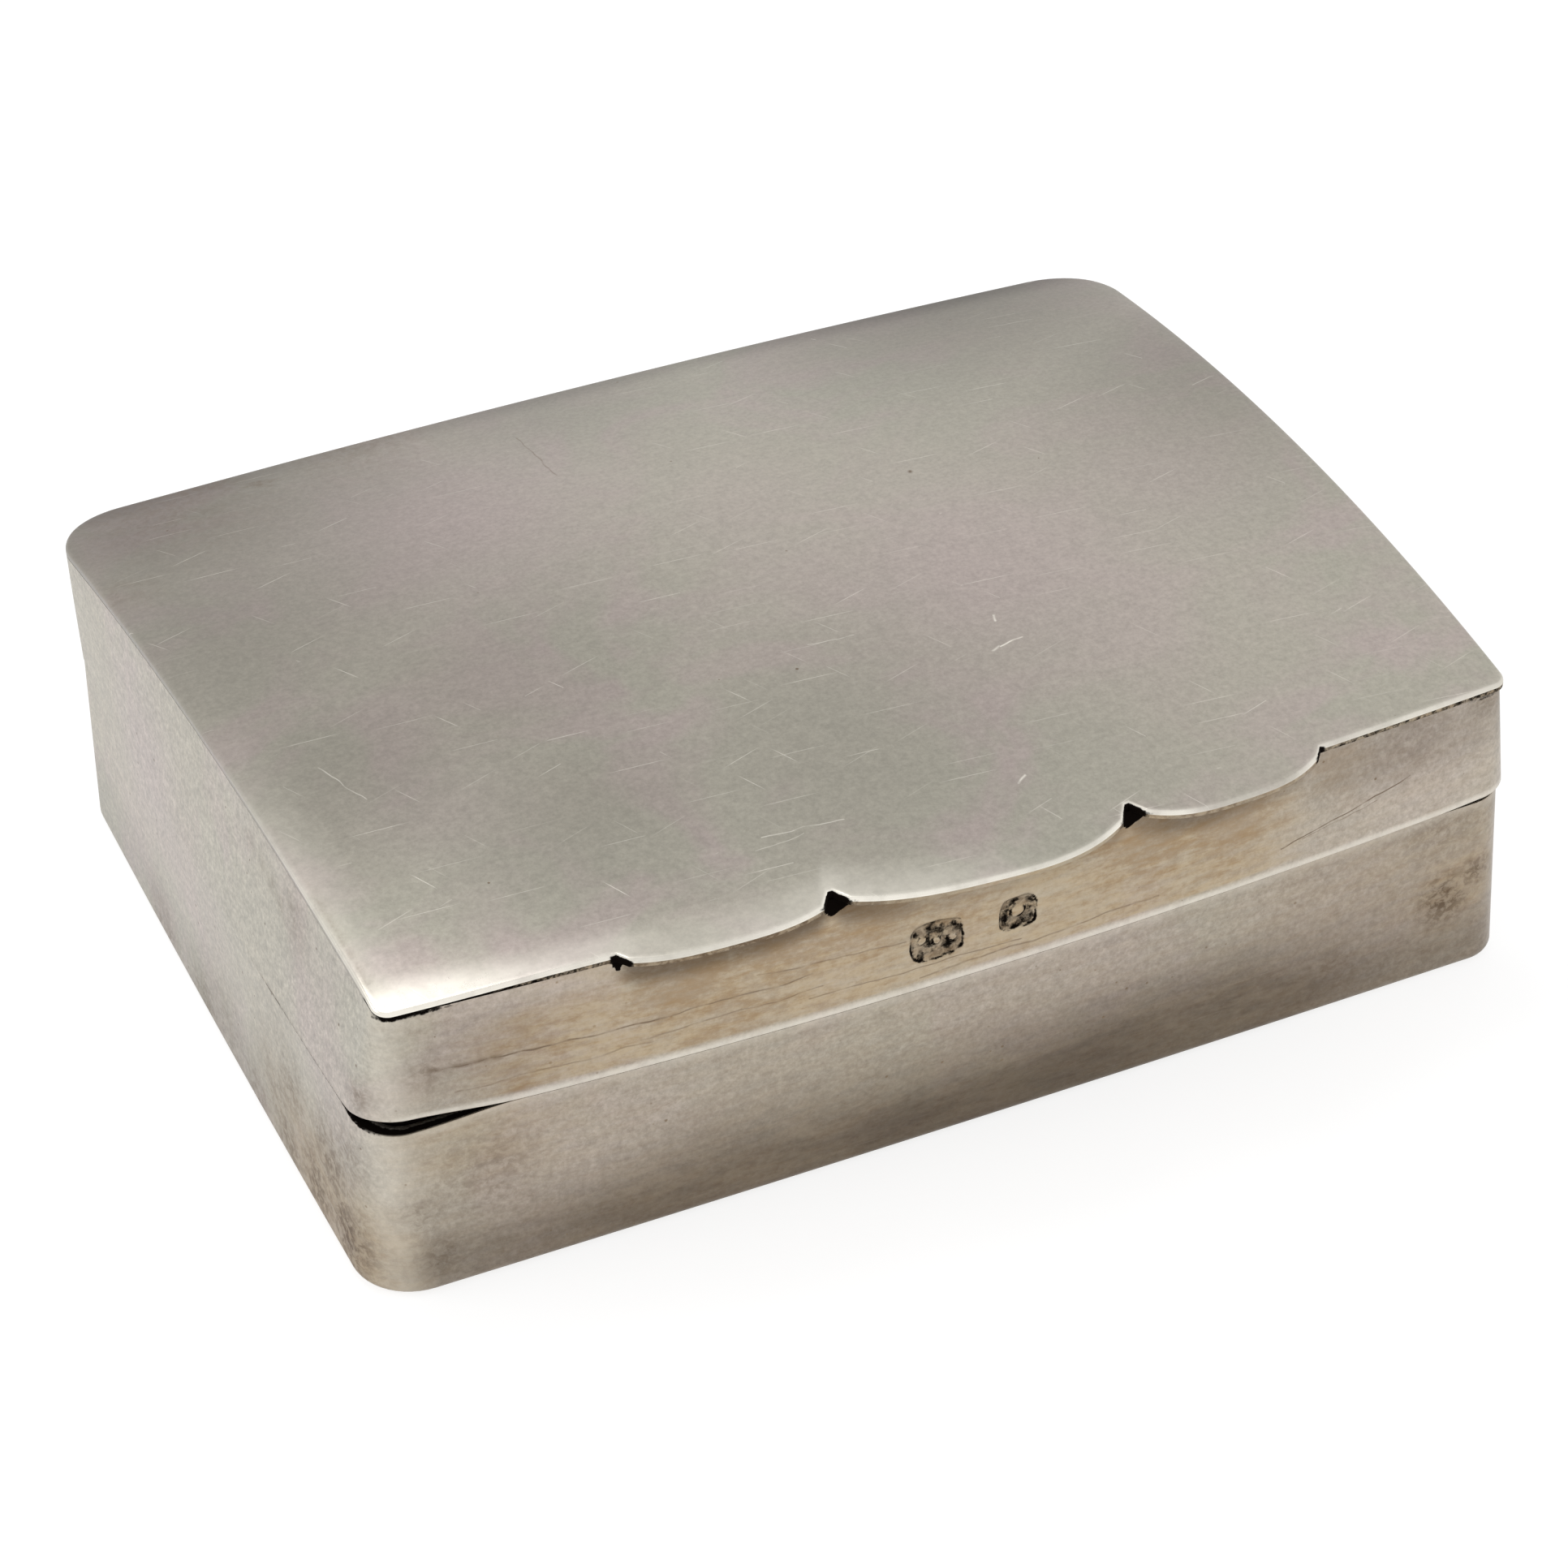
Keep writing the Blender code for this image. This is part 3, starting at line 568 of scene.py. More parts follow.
def ripple(place, size):
    """Smooth noise from minus one to one, in ripples of a size."""
    return noise.noise(Vector(place) / size, noise_basis="PERLIN_ORIGINAL")


def crest_height(sizes, x, y):
    """Height of the lid wall's upper edge, just under the plate."""
    return dome_height(sizes, x, y) - sizes.plate - sizes.seam


CORNER_DROOP_LENGTH = 5.5e-3
CORNER_DROOP, SIDE_DROOP, FRONT_DROOP = Bump(0, 1.5e-3), Bump(0, 0.45e-3), Bump(0, 0.6e-3)
QUIET_EDGE = Fade(3e-3, 0.2e-3)


def worn_height(sizes, lip, x, y):
    """Height of the plate's upper face, rounded off towards its edges and slightly uneven."""
    section = plate_section(sizes, lip)
    from_front = y - front_edge(section, x)
    from_side = side_edge(section, y) - abs(x)
    to_left = bump_at(x, -section.half_front, CORNER_DROOP_LENGTH)
    corner = lip.corner_droop * to_left * CORNER_DROOP.at(max(from_front, 0))
    side = lip.side_droop * SIDE_DROOP.at(max(from_side, 0))
    front = lip.side_droop * FRONT_DROOP.at(max(from_front, 0))
    wave = lip.unevenness * ripple((x, y, 0), lip.wave_length)
    quiet = QUIET_EDGE.at(min(from_front, from_side))
    return dome_height(sizes, x, y) - max(corner, side, front) + (wave - lip.unevenness) * quiet


# Meshes


def bent_strip(name, rings, is_tube, marks=()):
    """A mesh through rings of points: a flat grid bent round, its ends merged where they meet.

    A tube also closes the last ring on the first. Marks give each ring a value for the attribute inward.
    """
    around = len(rings[0])
    rows = len(rings) if is_tube else len(rings) - 1
    shape = bmesh.new()
    layer = shape.verts.layers.float.new("inward") if marks else None
    bmesh.ops.create_grid(shape, x_segments=around, y_segments=rows, size=1)
    for vertex in shape.verts:
        column = round((vertex.co.x + 1) / 2 * around) % around
        row = round((vertex.co.y + 1) / 2 * rows) % len(rings)
        vertex.co = rings[row][column]
        if marks:
            vertex[layer] = marks[row]
    bmesh.ops.remove_doubles(shape, verts=shape.verts, dist=MERGE_DISTANCE)
    bmesh.ops.recalc_face_normals(shape, faces=shape.faces)
    return finished_mesh(name, shape)


def finished_mesh(name, shape):
    """A smooth mesh of a bmesh, with its sharp edges kept sharp."""
    mesh = bpy.data.meshes.new(name)
    shape.to_mesh(mesh)
    shape.free()
    mesh.shade_smooth()
    mesh.set_sharp_from_angle(angle=SHARP_ANGLE)
    return mesh


def height_at(height, point):
    """A height, or the height that a function of x and y gives at a point."""
    return height(point.x, point.y) if callable(height) else height


def lifted(points, height, rise=0):
    """Plan points raised to a height, or to what a function of x and y gives, and then by a rise."""
    return [Vector((point.x, point.y, height_at(height, point) + rise)) for point in points]


def quarter(steps):
    """(run, rise) pairs of a quarter turn from the flat to the upright."""
    turns = [math.pi / 2 * step / steps for step in range(steps + 1)]
    return [(1 - math.sin(turn), 1 - math.cos(turn)) for turn in turns]


def placed(name, data):
    """A new object in the scene."""
    item = bpy.data.objects.new(name, data)
    bpy.context.scene.collection.objects.link(item)
    return item


def with_modifiers_applied(piece, helpers):
    """The piece with its modifiers made part of its mesh, and their helpers removed."""
    bpy.context.view_layer.update()
    graph = bpy.context.evaluated_depsgraph_get()
    mesh = bpy.data.meshes.new_from_object(piece.evaluated_get(graph))
    piece.modifiers.clear()
    piece.data = mesh
    mesh.set_sharp_from_angle(angle=SHARP_ANGLE)
    for helper in helpers:
        bpy.data.objects.remove(helper)
    return piece


def cut(piece, cutters):
    """Takes the shapes of some cutters out of a piece."""
    for cutter in cutters:
        modifier = piece.modifiers.new(cutter.name, "BOOLEAN")
        modifier.operation = "DIFFERENCE"
        modifier.solver = "EXACT"
        modifier.object = cutter
    return with_modifiers_applied(piece, cutters)


def rounded(piece, width, segments):
    """Rounds the sharp edges of a piece."""
    modifier = piece.modifiers.new("rounded", "BEVEL")
    modifier.width = width
    modifier.segments = segments
    modifier.limit_method = "ANGLE"
    modifier.angle_limit = SHARP_ANGLE
    modifier.use_clamp_overlap = True
    return with_modifiers_applied(piece, [])


def solid_copy(name, node):
    """A piece that takes over the merged mesh of one of the frame's solids."""
    shape = bmesh.new()
    shape.from_mesh(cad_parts[node].data)
    bmesh.ops.remove_doubles(shape, verts=shape.verts, dist=MERGE_DISTANCE * 10)
    bmesh.ops.dissolve_limit(shape, angle_limit=FLAT_ANGLE, verts=shape.verts, edges=shape.edges)
    return placed(name, finished_mesh(name, shape))


def hinge_axis():
    """A point on the hinge's axis, in the middle of the pin."""
    low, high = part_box("hinge_pin")
    return (low + high) / 2


def hinge_cutters(sizes, hinge):
    """The flute that clears the barrel, and the wedge that lets the lid fall back."""
    axis = hinge_axis()
    low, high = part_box("base_hinge_bearer")
    radius = hinge.barrel_radius + hinge.flute_clearance
    flute = bmesh.new()
    bmesh.ops.create_cone(
        flute,
        cap_ends=True,
        segments=hinge.turns,
        radius1=radius,
        radius2=radius,
        depth=high.x - low.x + 2 * hinge.end_edge,
        matrix=Matrix.Translation(axis) @ Matrix.Rotation(math.pi / 2, 4, "Y"),
    )
    reach = hinge.inset + hinge.barrel_radius
    spread = reach * math.tan(hinge.stop_angle / 2)
    corners = [axis, axis + Vector((0, reach, -spread)), axis + Vector((0, reach, spread))]
    half = Vector((sizes.box_length, 0, 0))
    wedge = bmesh.new()
    side = wedge.faces.new([wedge.verts.new(corner - half) for corner in corners])
    swept = bmesh.ops.extrude_face_region(wedge, geom=[side])["geom"]
    moved = [item for item in swept if isinstance(item, bmesh.types.BMVert)]
    bmesh.ops.translate(wedge, verts=moved, vec=half * 2)
    bmesh.ops.recalc_face_normals(wedge, faces=wedge.faces)
    shapes = {"flute_cutter": flute, "wedge_cutter": wedge}
    return [placed(name, finished_mesh(name, shape)) for name, shape in shapes.items()]


# Placing


def stand_for(piece, node, body):
    """Checks that a piece fills the box of the solid it stands for, and lets it ride in its place."""
    low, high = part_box(node)
    corners = [vertex.co for vertex in piece.data.vertices]
    for axis in range(3):
        least = min(corner[axis] for corner in corners)
        most = max(corner[axis] for corner in corners)
        if abs(least - low[axis]) > FIT_TOLERANCE or abs(most - high[axis]) > FIT_TOLERANCE:
            raise RuntimeError(f"{piece.name} doesn't fill the box of {node} along axis {axis}")
    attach(piece, body)
    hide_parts(node)
    return piece


def paint(piece, **rules):
    """Stores shares at every point of a piece, each layer from spots or a rule of the place and its mark."""
    marks = [item.value for item in piece.data.attributes["inward"].data]
    places = [(*vertex.co, mark) for vertex, mark in zip(piece.data.vertices, marks)]
    for layer, rule in rules.items():
        if not callable(rule):
            rule = partial(spotted, rule)
        values = piece.data.attributes.new(layer, "FLOAT", "POINT").data
        values.foreach_set("value", [rule(*place) for place in places])


def spotted(spots, x, y, z, mark=0):
    """The strongest of some round spots at a place, whatever its mark."""
    away = [(Vector((x, y, z)) - Vector(spot[:3])).length / spot.radius for spot in spots]
    return max(spot.strength * math.exp(-(far**2)) for spot, far in zip(spots, away))


# Finishes


def feed(socket, value):
    """Links an output to a socket, or sets the socket to a plain value."""
    if isinstance(value, bpy.types.NodeSocket):
        socket.id_data.links.new(value, socket)
    elif hasattr(socket.default_value, "__len__") and len(value) == 3 < len(socket.default_value):
        socket.default_value = (*value, 1)
    else:
        socket.default_value = value


def add_node(tree, kind, inputs=None, **settings):
    """The outputs of a new shader node, with its settings made and its inputs fed."""
    node = tree.nodes.new("ShaderNode" + kind)
    for name, value in settings.items():
        setattr(node, name, value)
    for name, value in (inputs or {}).items():
        feed(node.inputs[name], value)
    return node.outputs


Texture = namedtuple("Texture", "scale detail harshness warp", defaults=(2.0, 0.5, 0.0))

# Noise of the metal itself, and then of what age and the painted shade and highlights lay on it
CLOUD = Texture((0.16, 0.20, 0.16), 3.0, 0.55, 0.8)
DRIFT = Texture((0.09, 0.12, 0.12))
GRAIN = Texture((5.5,) * 3, 4.0, 0.74)
MOTTLE = Texture((2.3,) * 3, 4.0, 0.66)
BRUSHING_TURN = (0.0, 0.0, math.radians(4))
SPREAD = Texture((0.55, 0.55, 2.2), 5.0, 0.70)
LONG_GRAIN = Texture((0.60, 0.60, 3.3), 7.0, 0.78)
SPECKLE = Texture((2.2, 2.2, 3.4), 5.0, 0.74)
STAIN_BREAK = Texture((2.6, 2.6, 3.0), 4.0, 0.66, 0.5)
RUB_AND_SHEEN_BREAK = Texture((1.4,) * 3, 4.0)
GRIME_AND_SHADE_EDGE = Texture((4.2, 4.2, 5.2), 4.0, 0.72)
STROKE_WAVE = Texture((0.55,) * 3)
STROKE_BREAK = Texture((1.6,) * 3, 3.0)


class Finish:
    """One surface, built from nodes in millimetres of the piece's own space."""

    def __init__(self, name):
        self.material = bpy.data.materials.new(name)
        self.material.use_nodes = True
        self.shader = self.material.node_tree.nodes["Principled BSDF"].inputs
        self.place = self.mapped(self.add("TexCoord")["Object"], (PER_MILLIMETRE,) * 3)

    def add(self, kind, inputs=None, **settings):
        """The outputs of a new node of this surface."""
        return add_node(self.material.node_tree, kind, inputs, **settings)

    def mapped(self, vector, scale, turn=(0, 0, 0)):
        """A vector turned and then scaled."""
        inputs = {"Vector": vector, "Rotation": turn, "Scale": scale}
        return self.add("Mapping", inputs, vector_type="POINT")["Vector"]

    def math(self, operation, first, second=0.0):
        """One step of arithmetic."""
        return self.add("Math", {0: first, 1: second}, operation=operation)[0]

    def vector(self, operation, *values):
        """One step of arithmetic on vectors, with its vector and its value."""
        return self.add("VectorMath", dict(enumerate(values)), operation=operation)

    def scaled(self, vector, factor):
        """A vector or a colour times a number."""
        return self.add("VectorMath", {0: vector, "Scale": factor}, operation="SCALE")["Vector"]

    def product(self, *shares):
        """Several shares multiplied together."""
        return reduce(partial(self.math, "MULTIPLY"), shares)

    def total(self, *values):
        """Several values added together."""
        return reduce(partial(self.math, "ADD"), values)

    def greatest(self, *values):
        """The greatest of several values."""
        return reduce(partial(self.math, "MAXIMUM"), values)

    def smooth(self, value, none, full, low=0.0, high=1.0):
        """A value carried smoothly from one range to another."""
        inputs = {"Value": value, "From Min": none, "From Max": full, "To Min": low, "To Max": high}
        return self.add("MapRange", inputs, interpolation_type="SMOOTHSTEP")["Result"]

    def around(self, value, reach, spread):
        """Noise as a factor around one, that spreads this far up and down."""
        return self.smooth(value, reach, 1 - reach, 1 - spread, 1 + spread)

    def mix(self, share, first, second, blend="MIX"):
        """Two colours mixed by a share."""
        inputs = {0: share, 6: first, 7: second}
        return self.add("Mix", inputs, data_type="RGBA", blend_type=blend)[2]

    def multiplied(self, share, colour, film):
        """A colour darkened by a painted shade colour that lies on it with a share."""
        return self.mix(share, colour, self.mix(1.0, colour, film, "MULTIPLY"))

    def noise(self, scale, detail, harshness, warp, turn=(0, 0, 0), output="Fac"):
        """Noise whose patches measure one over the scale, in millimetres, along each axis."""
        inputs = {"Vector": self.mapped(self.place, scale, turn), "Scale": 1.0, "Detail": detail}
        inputs |= {"Roughness": harshness, "Distortion": warp}
        return self.add("TexNoise", inputs)[output]

    def layer(self, name):
        """A painted share of the piece."""
        return self.add("Attribute", attribute_name=name)["Fac"]

    def near(self, spot):
        """A share that lies on a flat spot, three times as wide as it is high."""
        flat = self.mapped(self.place, (1, 1, 3))
        centre = [value * PER_MILLIMETRE for value in (spot.x, spot.y, 3 * spot.z)]
        radius = spot.radius * PER_MILLIMETRE
        apart = self.vector("DISTANCE", flat, centre)["Value"]
        return self.smooth(apart, radius, radius * 0.6, 0.0, spot.strength)

    def cells(self, place):
        """Loose cells, and two chances for each."""
        cells = self.add("TexVoronoi", {"Vector": place, "Scale": 1.0}, feature="F1")
        return cells, self.add("SeparateColor", {0: cells["Color"]})

    def hairlines(self, cell, turn, width, share, thin=1):
        """Short straight scratches, at most one to a cell, thin along one axis of the turned cells."""
        place = self.mapped(self.place, [1 / side for side in cell], (0.0, 0.0, math.radians(turn)))
        cells, chance = self.cells(place)
        apart = self.vector("SUBTRACT", place, cells["Position"])["Vector"]
        sides = self.add("SeparateXYZ", {0: apart})
        line = self.smooth(self.math("ABSOLUTE", sides[thin]), width / cell[thin], 0.0)
        taper = self.smooth(self.math("ABSOLUTE", sides[0]), 0.42, 0.12)
        chosen = self.math("GREATER_THAN", chance[0], 1 - share)
        return self.product(line, taper, chosen, chance[1])

    def specks(self, size, radius, share):
        """Small round specks, at most one to a cell of a given size."""
        cells, chance = self.cells(self.mapped(self.place, (1 / size,) * 3))
        reach = self.smooth(chance[1], 0.0, 1.0, radius / size / 3, radius / size)
        near = self.math("DIVIDE", cells["Distance"], reach)
        chosen = self.math("GREATER_THAN", chance[0], 1 - share)
        return self.product(self.smooth(near, 1.0, 0.4), chosen)

    def wavered(self, reach):
        """The place moved about a little, so that long marks run unevenly."""
        wave = self.noise(*STROKE_WAVE, output="Color")
        moved = self.vector("MULTIPLY_ADD", wave, (reach,) * 3, self.place)["Vector"]
        return self.vector("SUBTRACT", moved, (reach / 2,) * 3)["Vector"]

    def strokes(self, strokes, plane):
        """Single long scratches between given places, seen square to a plane of two axes."""
        total = 0.0
        flat = self.mapped(self.wavered(0.5), [float(axis in plane) for axis in range(3)])
        for stroke in strokes:
            start = self.on_plane(stroke.start, plane)
            run = self.on_plane(stroke.end, plane) - start
            apart = self.vector("SUBTRACT", flat, start)["Vector"]
            along = self.vector("DOT_PRODUCT", apart, run.normalized())["Value"]
            reached = self.add("Clamp", {"Value": along, "Max": run.length})[0]
            foot = self.scaled(run.normalized(), reached)
            distance = self.vector("DISTANCE", apart, foot)["Value"]
            line = self.smooth(distance, stroke.width, 0.0, 0.0, stroke.strength)
            total = self.greatest(line, total)
        if plane == FRONT_PLANE:
            depth = self.add("SeparateXYZ", {0: self.place})[1]
            total = self.product(total, self.smooth(depth, *STROKE_DEPTHS))
        return self.product(total, self.smooth(self.noise(*STROKE_BREAK), 0.34, 0.58, 0.40, 1.0))

    def on_plane(self, place, plane):
        """Two coordinates as a point on a plane of two axes."""
        point = Vector((0, 0, 0))
        for axis, value in zip(plane, place):
            point[axis] = value
        return point


def lay_age(finish, metal, colours, dirt_and_shade):
    """Lays tarnish, painted shade, stains, bright rubbing with painted highlights, and black painted shadow
    with dark deposits over a metal colour, from the painted layers.
    """
    spread = finish.smooth(finish.noise(*SPREAD), 0.3, 0.7, 0.60, 1.06)
    long_grain = finish.product(finish.noise(*LONG_GRAIN), 0.55)
    speckle = finish.product(finish.noise(*SPECKLE), 0.45)
    browner = finish.product(finish.layer("brown"), 0.23)
    depth = finish.smooth(finish.total(long_grain, speckle, browner), 0.44, 0.66)
    toned = finish.mix(depth, colours.tarnish, colours.dark_tarnish)
    shade = finish.mix(finish.product(finish.layer("tarnish"), spread), metal, toned)
    # A second layer of painted shade: under the lip and towards the foot
    shade = finish.multiplied(finish.layer("veil"), shade, colours.film)
    patchy = finish.smooth(finish.noise(*STAIN_BREAK), 0.40, 0.62, 0.38, 1.0)
    # Stains, with painted shade under the lip, along the split and on the plate's front edge
    stain = finish.product(finish.layer("stain"), patchy)
    shade = finish.mix(stain, shade, colours.stain)
    # Rubbed silver, with painted highlights
    rub_and_sheen_break = finish.smooth(finish.noise(*RUB_AND_SHEEN_BREAK), 0.2, 0.6, 0.7, 1.0)
    rubbed_and_sheen = finish.product(finish.layer("worn"), rub_and_sheen_break)
    shade = finish.mix(rubbed_and_sheen, shade, colours.bright)
    # Black deposits, with painted shadow in gaps and recesses
    torn = finish.smooth(finish.noise(*GRIME_AND_SHADE_EDGE), 0.3, 0.7, -0.16, 0.16)
    laid = finish.greatest(finish.layer("grime"), *[finish.near(spot) for spot in dirt_and_shade])
    grime = finish.smooth(finish.total(laid, torn), 0.22, 0.62)
    return finish.mix(grime, shade, colours.grime), rubbed_and_sheen, stain, grime


def silver_finish(name, colours, look, marks=(), glints=(), plane=TOP_PLANE, dirt_and_shade=()):
    """Satin silver with wear: soft casts, painted shade, grain, hairlines, pits, age and painted highlights.
    """
    finish = Finish(name)
    base, cool, warm = look.tones
    cloud = finish.smooth(finish.noise(*CLOUD), 0.42, 0.66)
    drift = finish.smooth(finish.noise(*DRIFT), 0.3, 0.7, 0.3, 0.9)
    metal = finish.mix(drift, base, finish.mix(cloud, cool, warm))
    metal = finish.mix(finish.layer("cast"), metal, warm)
    # Painted shade where the plate reflects less light
    metal = finish.multiplied(finish.layer("film"), metal, colours.film)
    grain = finish.noise(*GRAIN)
    mottle = finish.noise(*MOTTLE)
    brushed = finish.noise(*Texture(look.streak, 3.0, 0.6), BRUSHING_TURN)
    tone = finish.product(
        finish.around(grain, 0.25, look.grain),
        finish.around(mottle, 0.25, look.mottle),
        finish.around(brushed, 0.2, look.brushing),
    )
    metal = finish.scaled(metal, tone)
    scratched = finish.greatest(*[finish.hairlines(*lines, look.thin) for lines in HAIRLINES])
    bright = finish.product(scratched, look.scratches)
    if glints:
        bright = finish.greatest(bright, finish.strokes(glints, plane))
    metal = finish.mix(bright, metal, colours.bright)
    pits = finish.specks(look.pit_spacing, PIT_RADIUS, look.pits)
    metal = finish.mix(finish.product(pits, 0.80), metal, colours.stain)
    shade, rubbed_and_sheen, stain, grime = lay_age(finish, metal, colours, dirt_and_shade)
    depth = finish.total(finish.product(scratched, -0.5), finish.product(pits, -1.0))
    if marks:
        dark = finish.strokes(marks, plane)
        shade = finish.mix(dark, shade, colours.stain)
        depth = finish.math("SUBTRACT", depth, dark)
    depth = finish.total(depth, finish.product(grain, 0.45), finish.product(brushed, 0.2))
    dull = finish.smooth(mottle, 0.25, 0.75, look.roughness - 0.03, look.roughness + 0.04)
    dull = finish.total(dull, finish.product(rubbed_and_sheen, -0.08), finish.product(stain, 0.15))
    relief = finish.add("Bump", {"Strength": 0.35, "Distance": RELIEF_HEIGHT, "Height": depth})
    for socket, value in (
        ("Base Color", shade),
        ("Roughness", finish.total(dull, finish.product(grime, 0.3))),
        ("Metallic", finish.smooth(grime, 0.2, 1.0, 1.0, 0.0)),
        ("Specular IOR Level", finish.smooth(grime, 0.1, 0.9, 0.5, 0.02)),
        ("Normal", relief["Normal"]),
    ):
        feed(finish.shader[socket], value)
    return finish.material


def dressed(piece, material):
    """Gives a piece its finish."""
    piece.data.materials.clear()
    piece.data.materials.append(material)
    return piece


# Pieces


def plate_rings(sizes, lip):
    """Rings of the lid plate from the middle of its top over the edge to the middle below, with marks."""
    edge = outline(plate_section(sizes, lip), lobed_front(lip))
    top = drawn_in(edge, sizes.plate_edge)
    upper, dome = partial(worn_height, sizes, lip), partial(dome_height, sizes)
    rings, marks = [], []
    for step in range(TOP_RINGS + 1):
        share = 1 - (1 - step / TOP_RINGS) ** 1.35
        rings.append(lifted([point * share for point in top], upper))
        marks.append((1 - share) * sizes.box_depth / 2 + sizes.plate_edge)
    for run, rise in quarter(PLATE_EDGE_STEPS)[1:]:
        rings.append(lifted(drawn_in(edge, sizes.plate_edge * run), upper, -sizes.plate_edge * rise))
        marks.append(sizes.plate_edge * run)
    rings.append(lifted(edge, upper, -sizes.plate_edge - sizes.seam))
    for run, rise in quarter(INNER_EDGE_STEPS)[::-1]:
        points = drawn_in(edge, sizes.plate_burr * run)
        rings.append(lifted(points, dome, sizes.plate_burr * rise - sizes.plate))
    marks += [-sizes.plate_burr] * (len(rings) - len(marks))
    under = drawn_in(edge, sizes.plate_burr)
    for step in range(1, UNDER_RINGS + 1):
        rings.append(lifted([point * (1 - step / UNDER_RINGS) for point in under], dome, -sizes.plate))
    return rings, marks + [-sizes.plate_edge] * UNDER_RINGS


def face_rings(start, end, start_height, end_height, shares, inward=0):
    """Rings of a wall's face between two plan sections and two heights, at given shares of the way."""
    rings = []
    for share in shares:
        points = outline(mixed(start, end, share))
        ring = []
        for point in drawn_in(points, inward) if inward else points:
            height = height_at(start_height, point) * (1 - share) + height_at(end_height, point) * share
            ring.append(Vector((point.x, point.y, height)))
        rings.append(ring)
    return rings


def even_shares(*spans):
    """Shares from several (end, steps) spans in a row, from nothing to one."""
    shares, start = [], 0
    for end, steps in spans:
        shares += [start + (end - start) * step / steps for step in range(steps)]
        start = end
    return shares + [start]


FRONT_FACE = Fade(-17.3e-3, -16.2e-3)
SPRUNG_CORNER = (-21.0e-3, -17.4e-3)
SPRUNG_BUMP = Bump(0, 3.2e-3)
SPRUNG_SIDE = Patch(0.55, Fade(-21.4e-3, -20.8e-3), Fade(-10.5e-3, -7.0e-3))
PUNCH_EDGE, PELLET_EDGE = Fade(0.80, 1.04), Fade(0.45, 1.2)


def in_front(y):
    """One on the front face of the box, nothing on its other sides."""
    return FRONT_FACE.at(y)


def away_from(corner, x, y):
    """Distance in plan from an upright corner."""
    return math.hypot(x - corner[0], y - corner[1])


def rim_rounding(sizes, x, y):
    """Rounding of a rim at a place: slight, but larger where wear has rounded off the sprung left corner and a
    way behind it.
    """
    share = max(SPRUNG_BUMP.at(away_from(SPRUNG_CORNER, x, y)), SPRUNG_SIDE.at(x, y))
    return sizes.rim_edge + (sizes.sprung_edge - sizes.rim_edge) * share


def rolled_rings(sizes, section, height, side, steps):
    """Rings that roll a rim from its flat to its outer face, above (side 1) or below (side -1)."""
    plan = outline(section)
    rings = []
    for run, rise in quarter(steps):
        points = drawn_in(plan, lambda p, run=run: rim_rounding(sizes, p.x, p.y) * run)
        falls = [side * rim_rounding(sizes, p.x, p.y) * rise for p in points]
        rings.append([Vector((p.x, p.y, height(p.x, p.y) - fall)) for p, fall in zip(points, falls)])
    return rings


def base_wall_rings(sizes):
    """Rings of the base's wall, and how far inside the outer face each lies on the rim's flat.

    They run up the outer face from the rounded foot, over the rim and down the inner face.
    """
    foot, rim = foot_section(sizes), base_rim_section(sizes)
    rim_height = partial(base_rim_height, sizes)

    def face_height(x, y):
        return rim_height(x, y) - rim_rounding(sizes, x, y)

    def inner_height(x, y):
        return rim_height(x, y) - sizes.inner_edge

    rings = []
    for run, rise in quarter(FOOT_STEPS):
        height = sizes.foot_edge * rise
        section = mixed(foot, rim, height / sizes.split_height)
        rings.append(lifted(drawn_in(outline(section), sizes.foot_edge * run), height))
    face_low = mixed(foot, rim, sizes.foot_edge / sizes.split_height)
    shares = even_shares(*BASE_FACE_SPANS)[1:]
    rings += face_rings(face_low, rim, sizes.foot_edge, face_height, shares)
    rings += rolled_rings(sizes, rim, rim_height, 1, BASE_ROLL_STEPS)[::-1][1:]
    marks = [0] * len(rings)
    for inward in (sizes.wall / 4, sizes.wall / 2):
        rings.append(lifted(drawn_in(outline(rim), inward), rim_height))
        marks.append(inward)
    inner_rim = rim._replace(shift=0)
    for run, rise in quarter(INNER_EDGE_STEPS):
        points = drawn_in(outline(inner_rim), sizes.wall - sizes.inner_edge * run)
        rings.append(lifted(points, rim_height, -sizes.inner_edge * rise))
    inner_foot = even_foot_section(sizes)
    shares = even_shares(INNER_FACE_SPAN)[1:]
    rings += face_rings(inner_rim, inner_foot, inner_height, 0, shares, sizes.wall)
    return rings, marks + [sizes.wall] * (len(rings) - len(marks))


def lid_wall_rings(sizes, lip):
    """Rings of the lid's wall, and how far inside the outer face each lies on the rim's flat.

    They run from the inner lower edge round the rim, up the face and down the inner face.
    """
    rim, crest = lid_rim_section(sizes), crest_section(sizes)
    rim_height, top_height = partial(lid_rim_height, sizes), partial(crest_height, sizes)

    def face_height(x, y):
        return rim_height(x, y) + rim_rounding(sizes, x, y)

    def inner_height(x, y):
        return rim_height(x, y) + sizes.inner_edge

    rings = []
    for run, rise in quarter(INNER_EDGE_STEPS)[::-1]:
        points = drawn_in(outline(rim), sizes.wall - sizes.inner_edge * run)
        rings.append(lifted(points, rim_height, sizes.inner_edge * rise))
    marks = [sizes.wall] * len(rings)
    rings += rolled_rings(sizes, rim, rim_height, -1, LID_ROLL_STEPS)
    face = face_rings(rim, crest, face_height, top_height, even_shares(*LID_FACE_SPANS)[1:])
    rings += [[struck(lip, point) for point in ring] for ring in face]
    marks += [0] * (len(rings) - len(marks))
    shares = even_shares(INNER_FACE_SPAN)[:-1]
    rings += face_rings(crest, rim, top_height, inner_height, shares, sizes.wall)
    return rings, marks + [sizes.wall] * (len(rings) - len(marks))


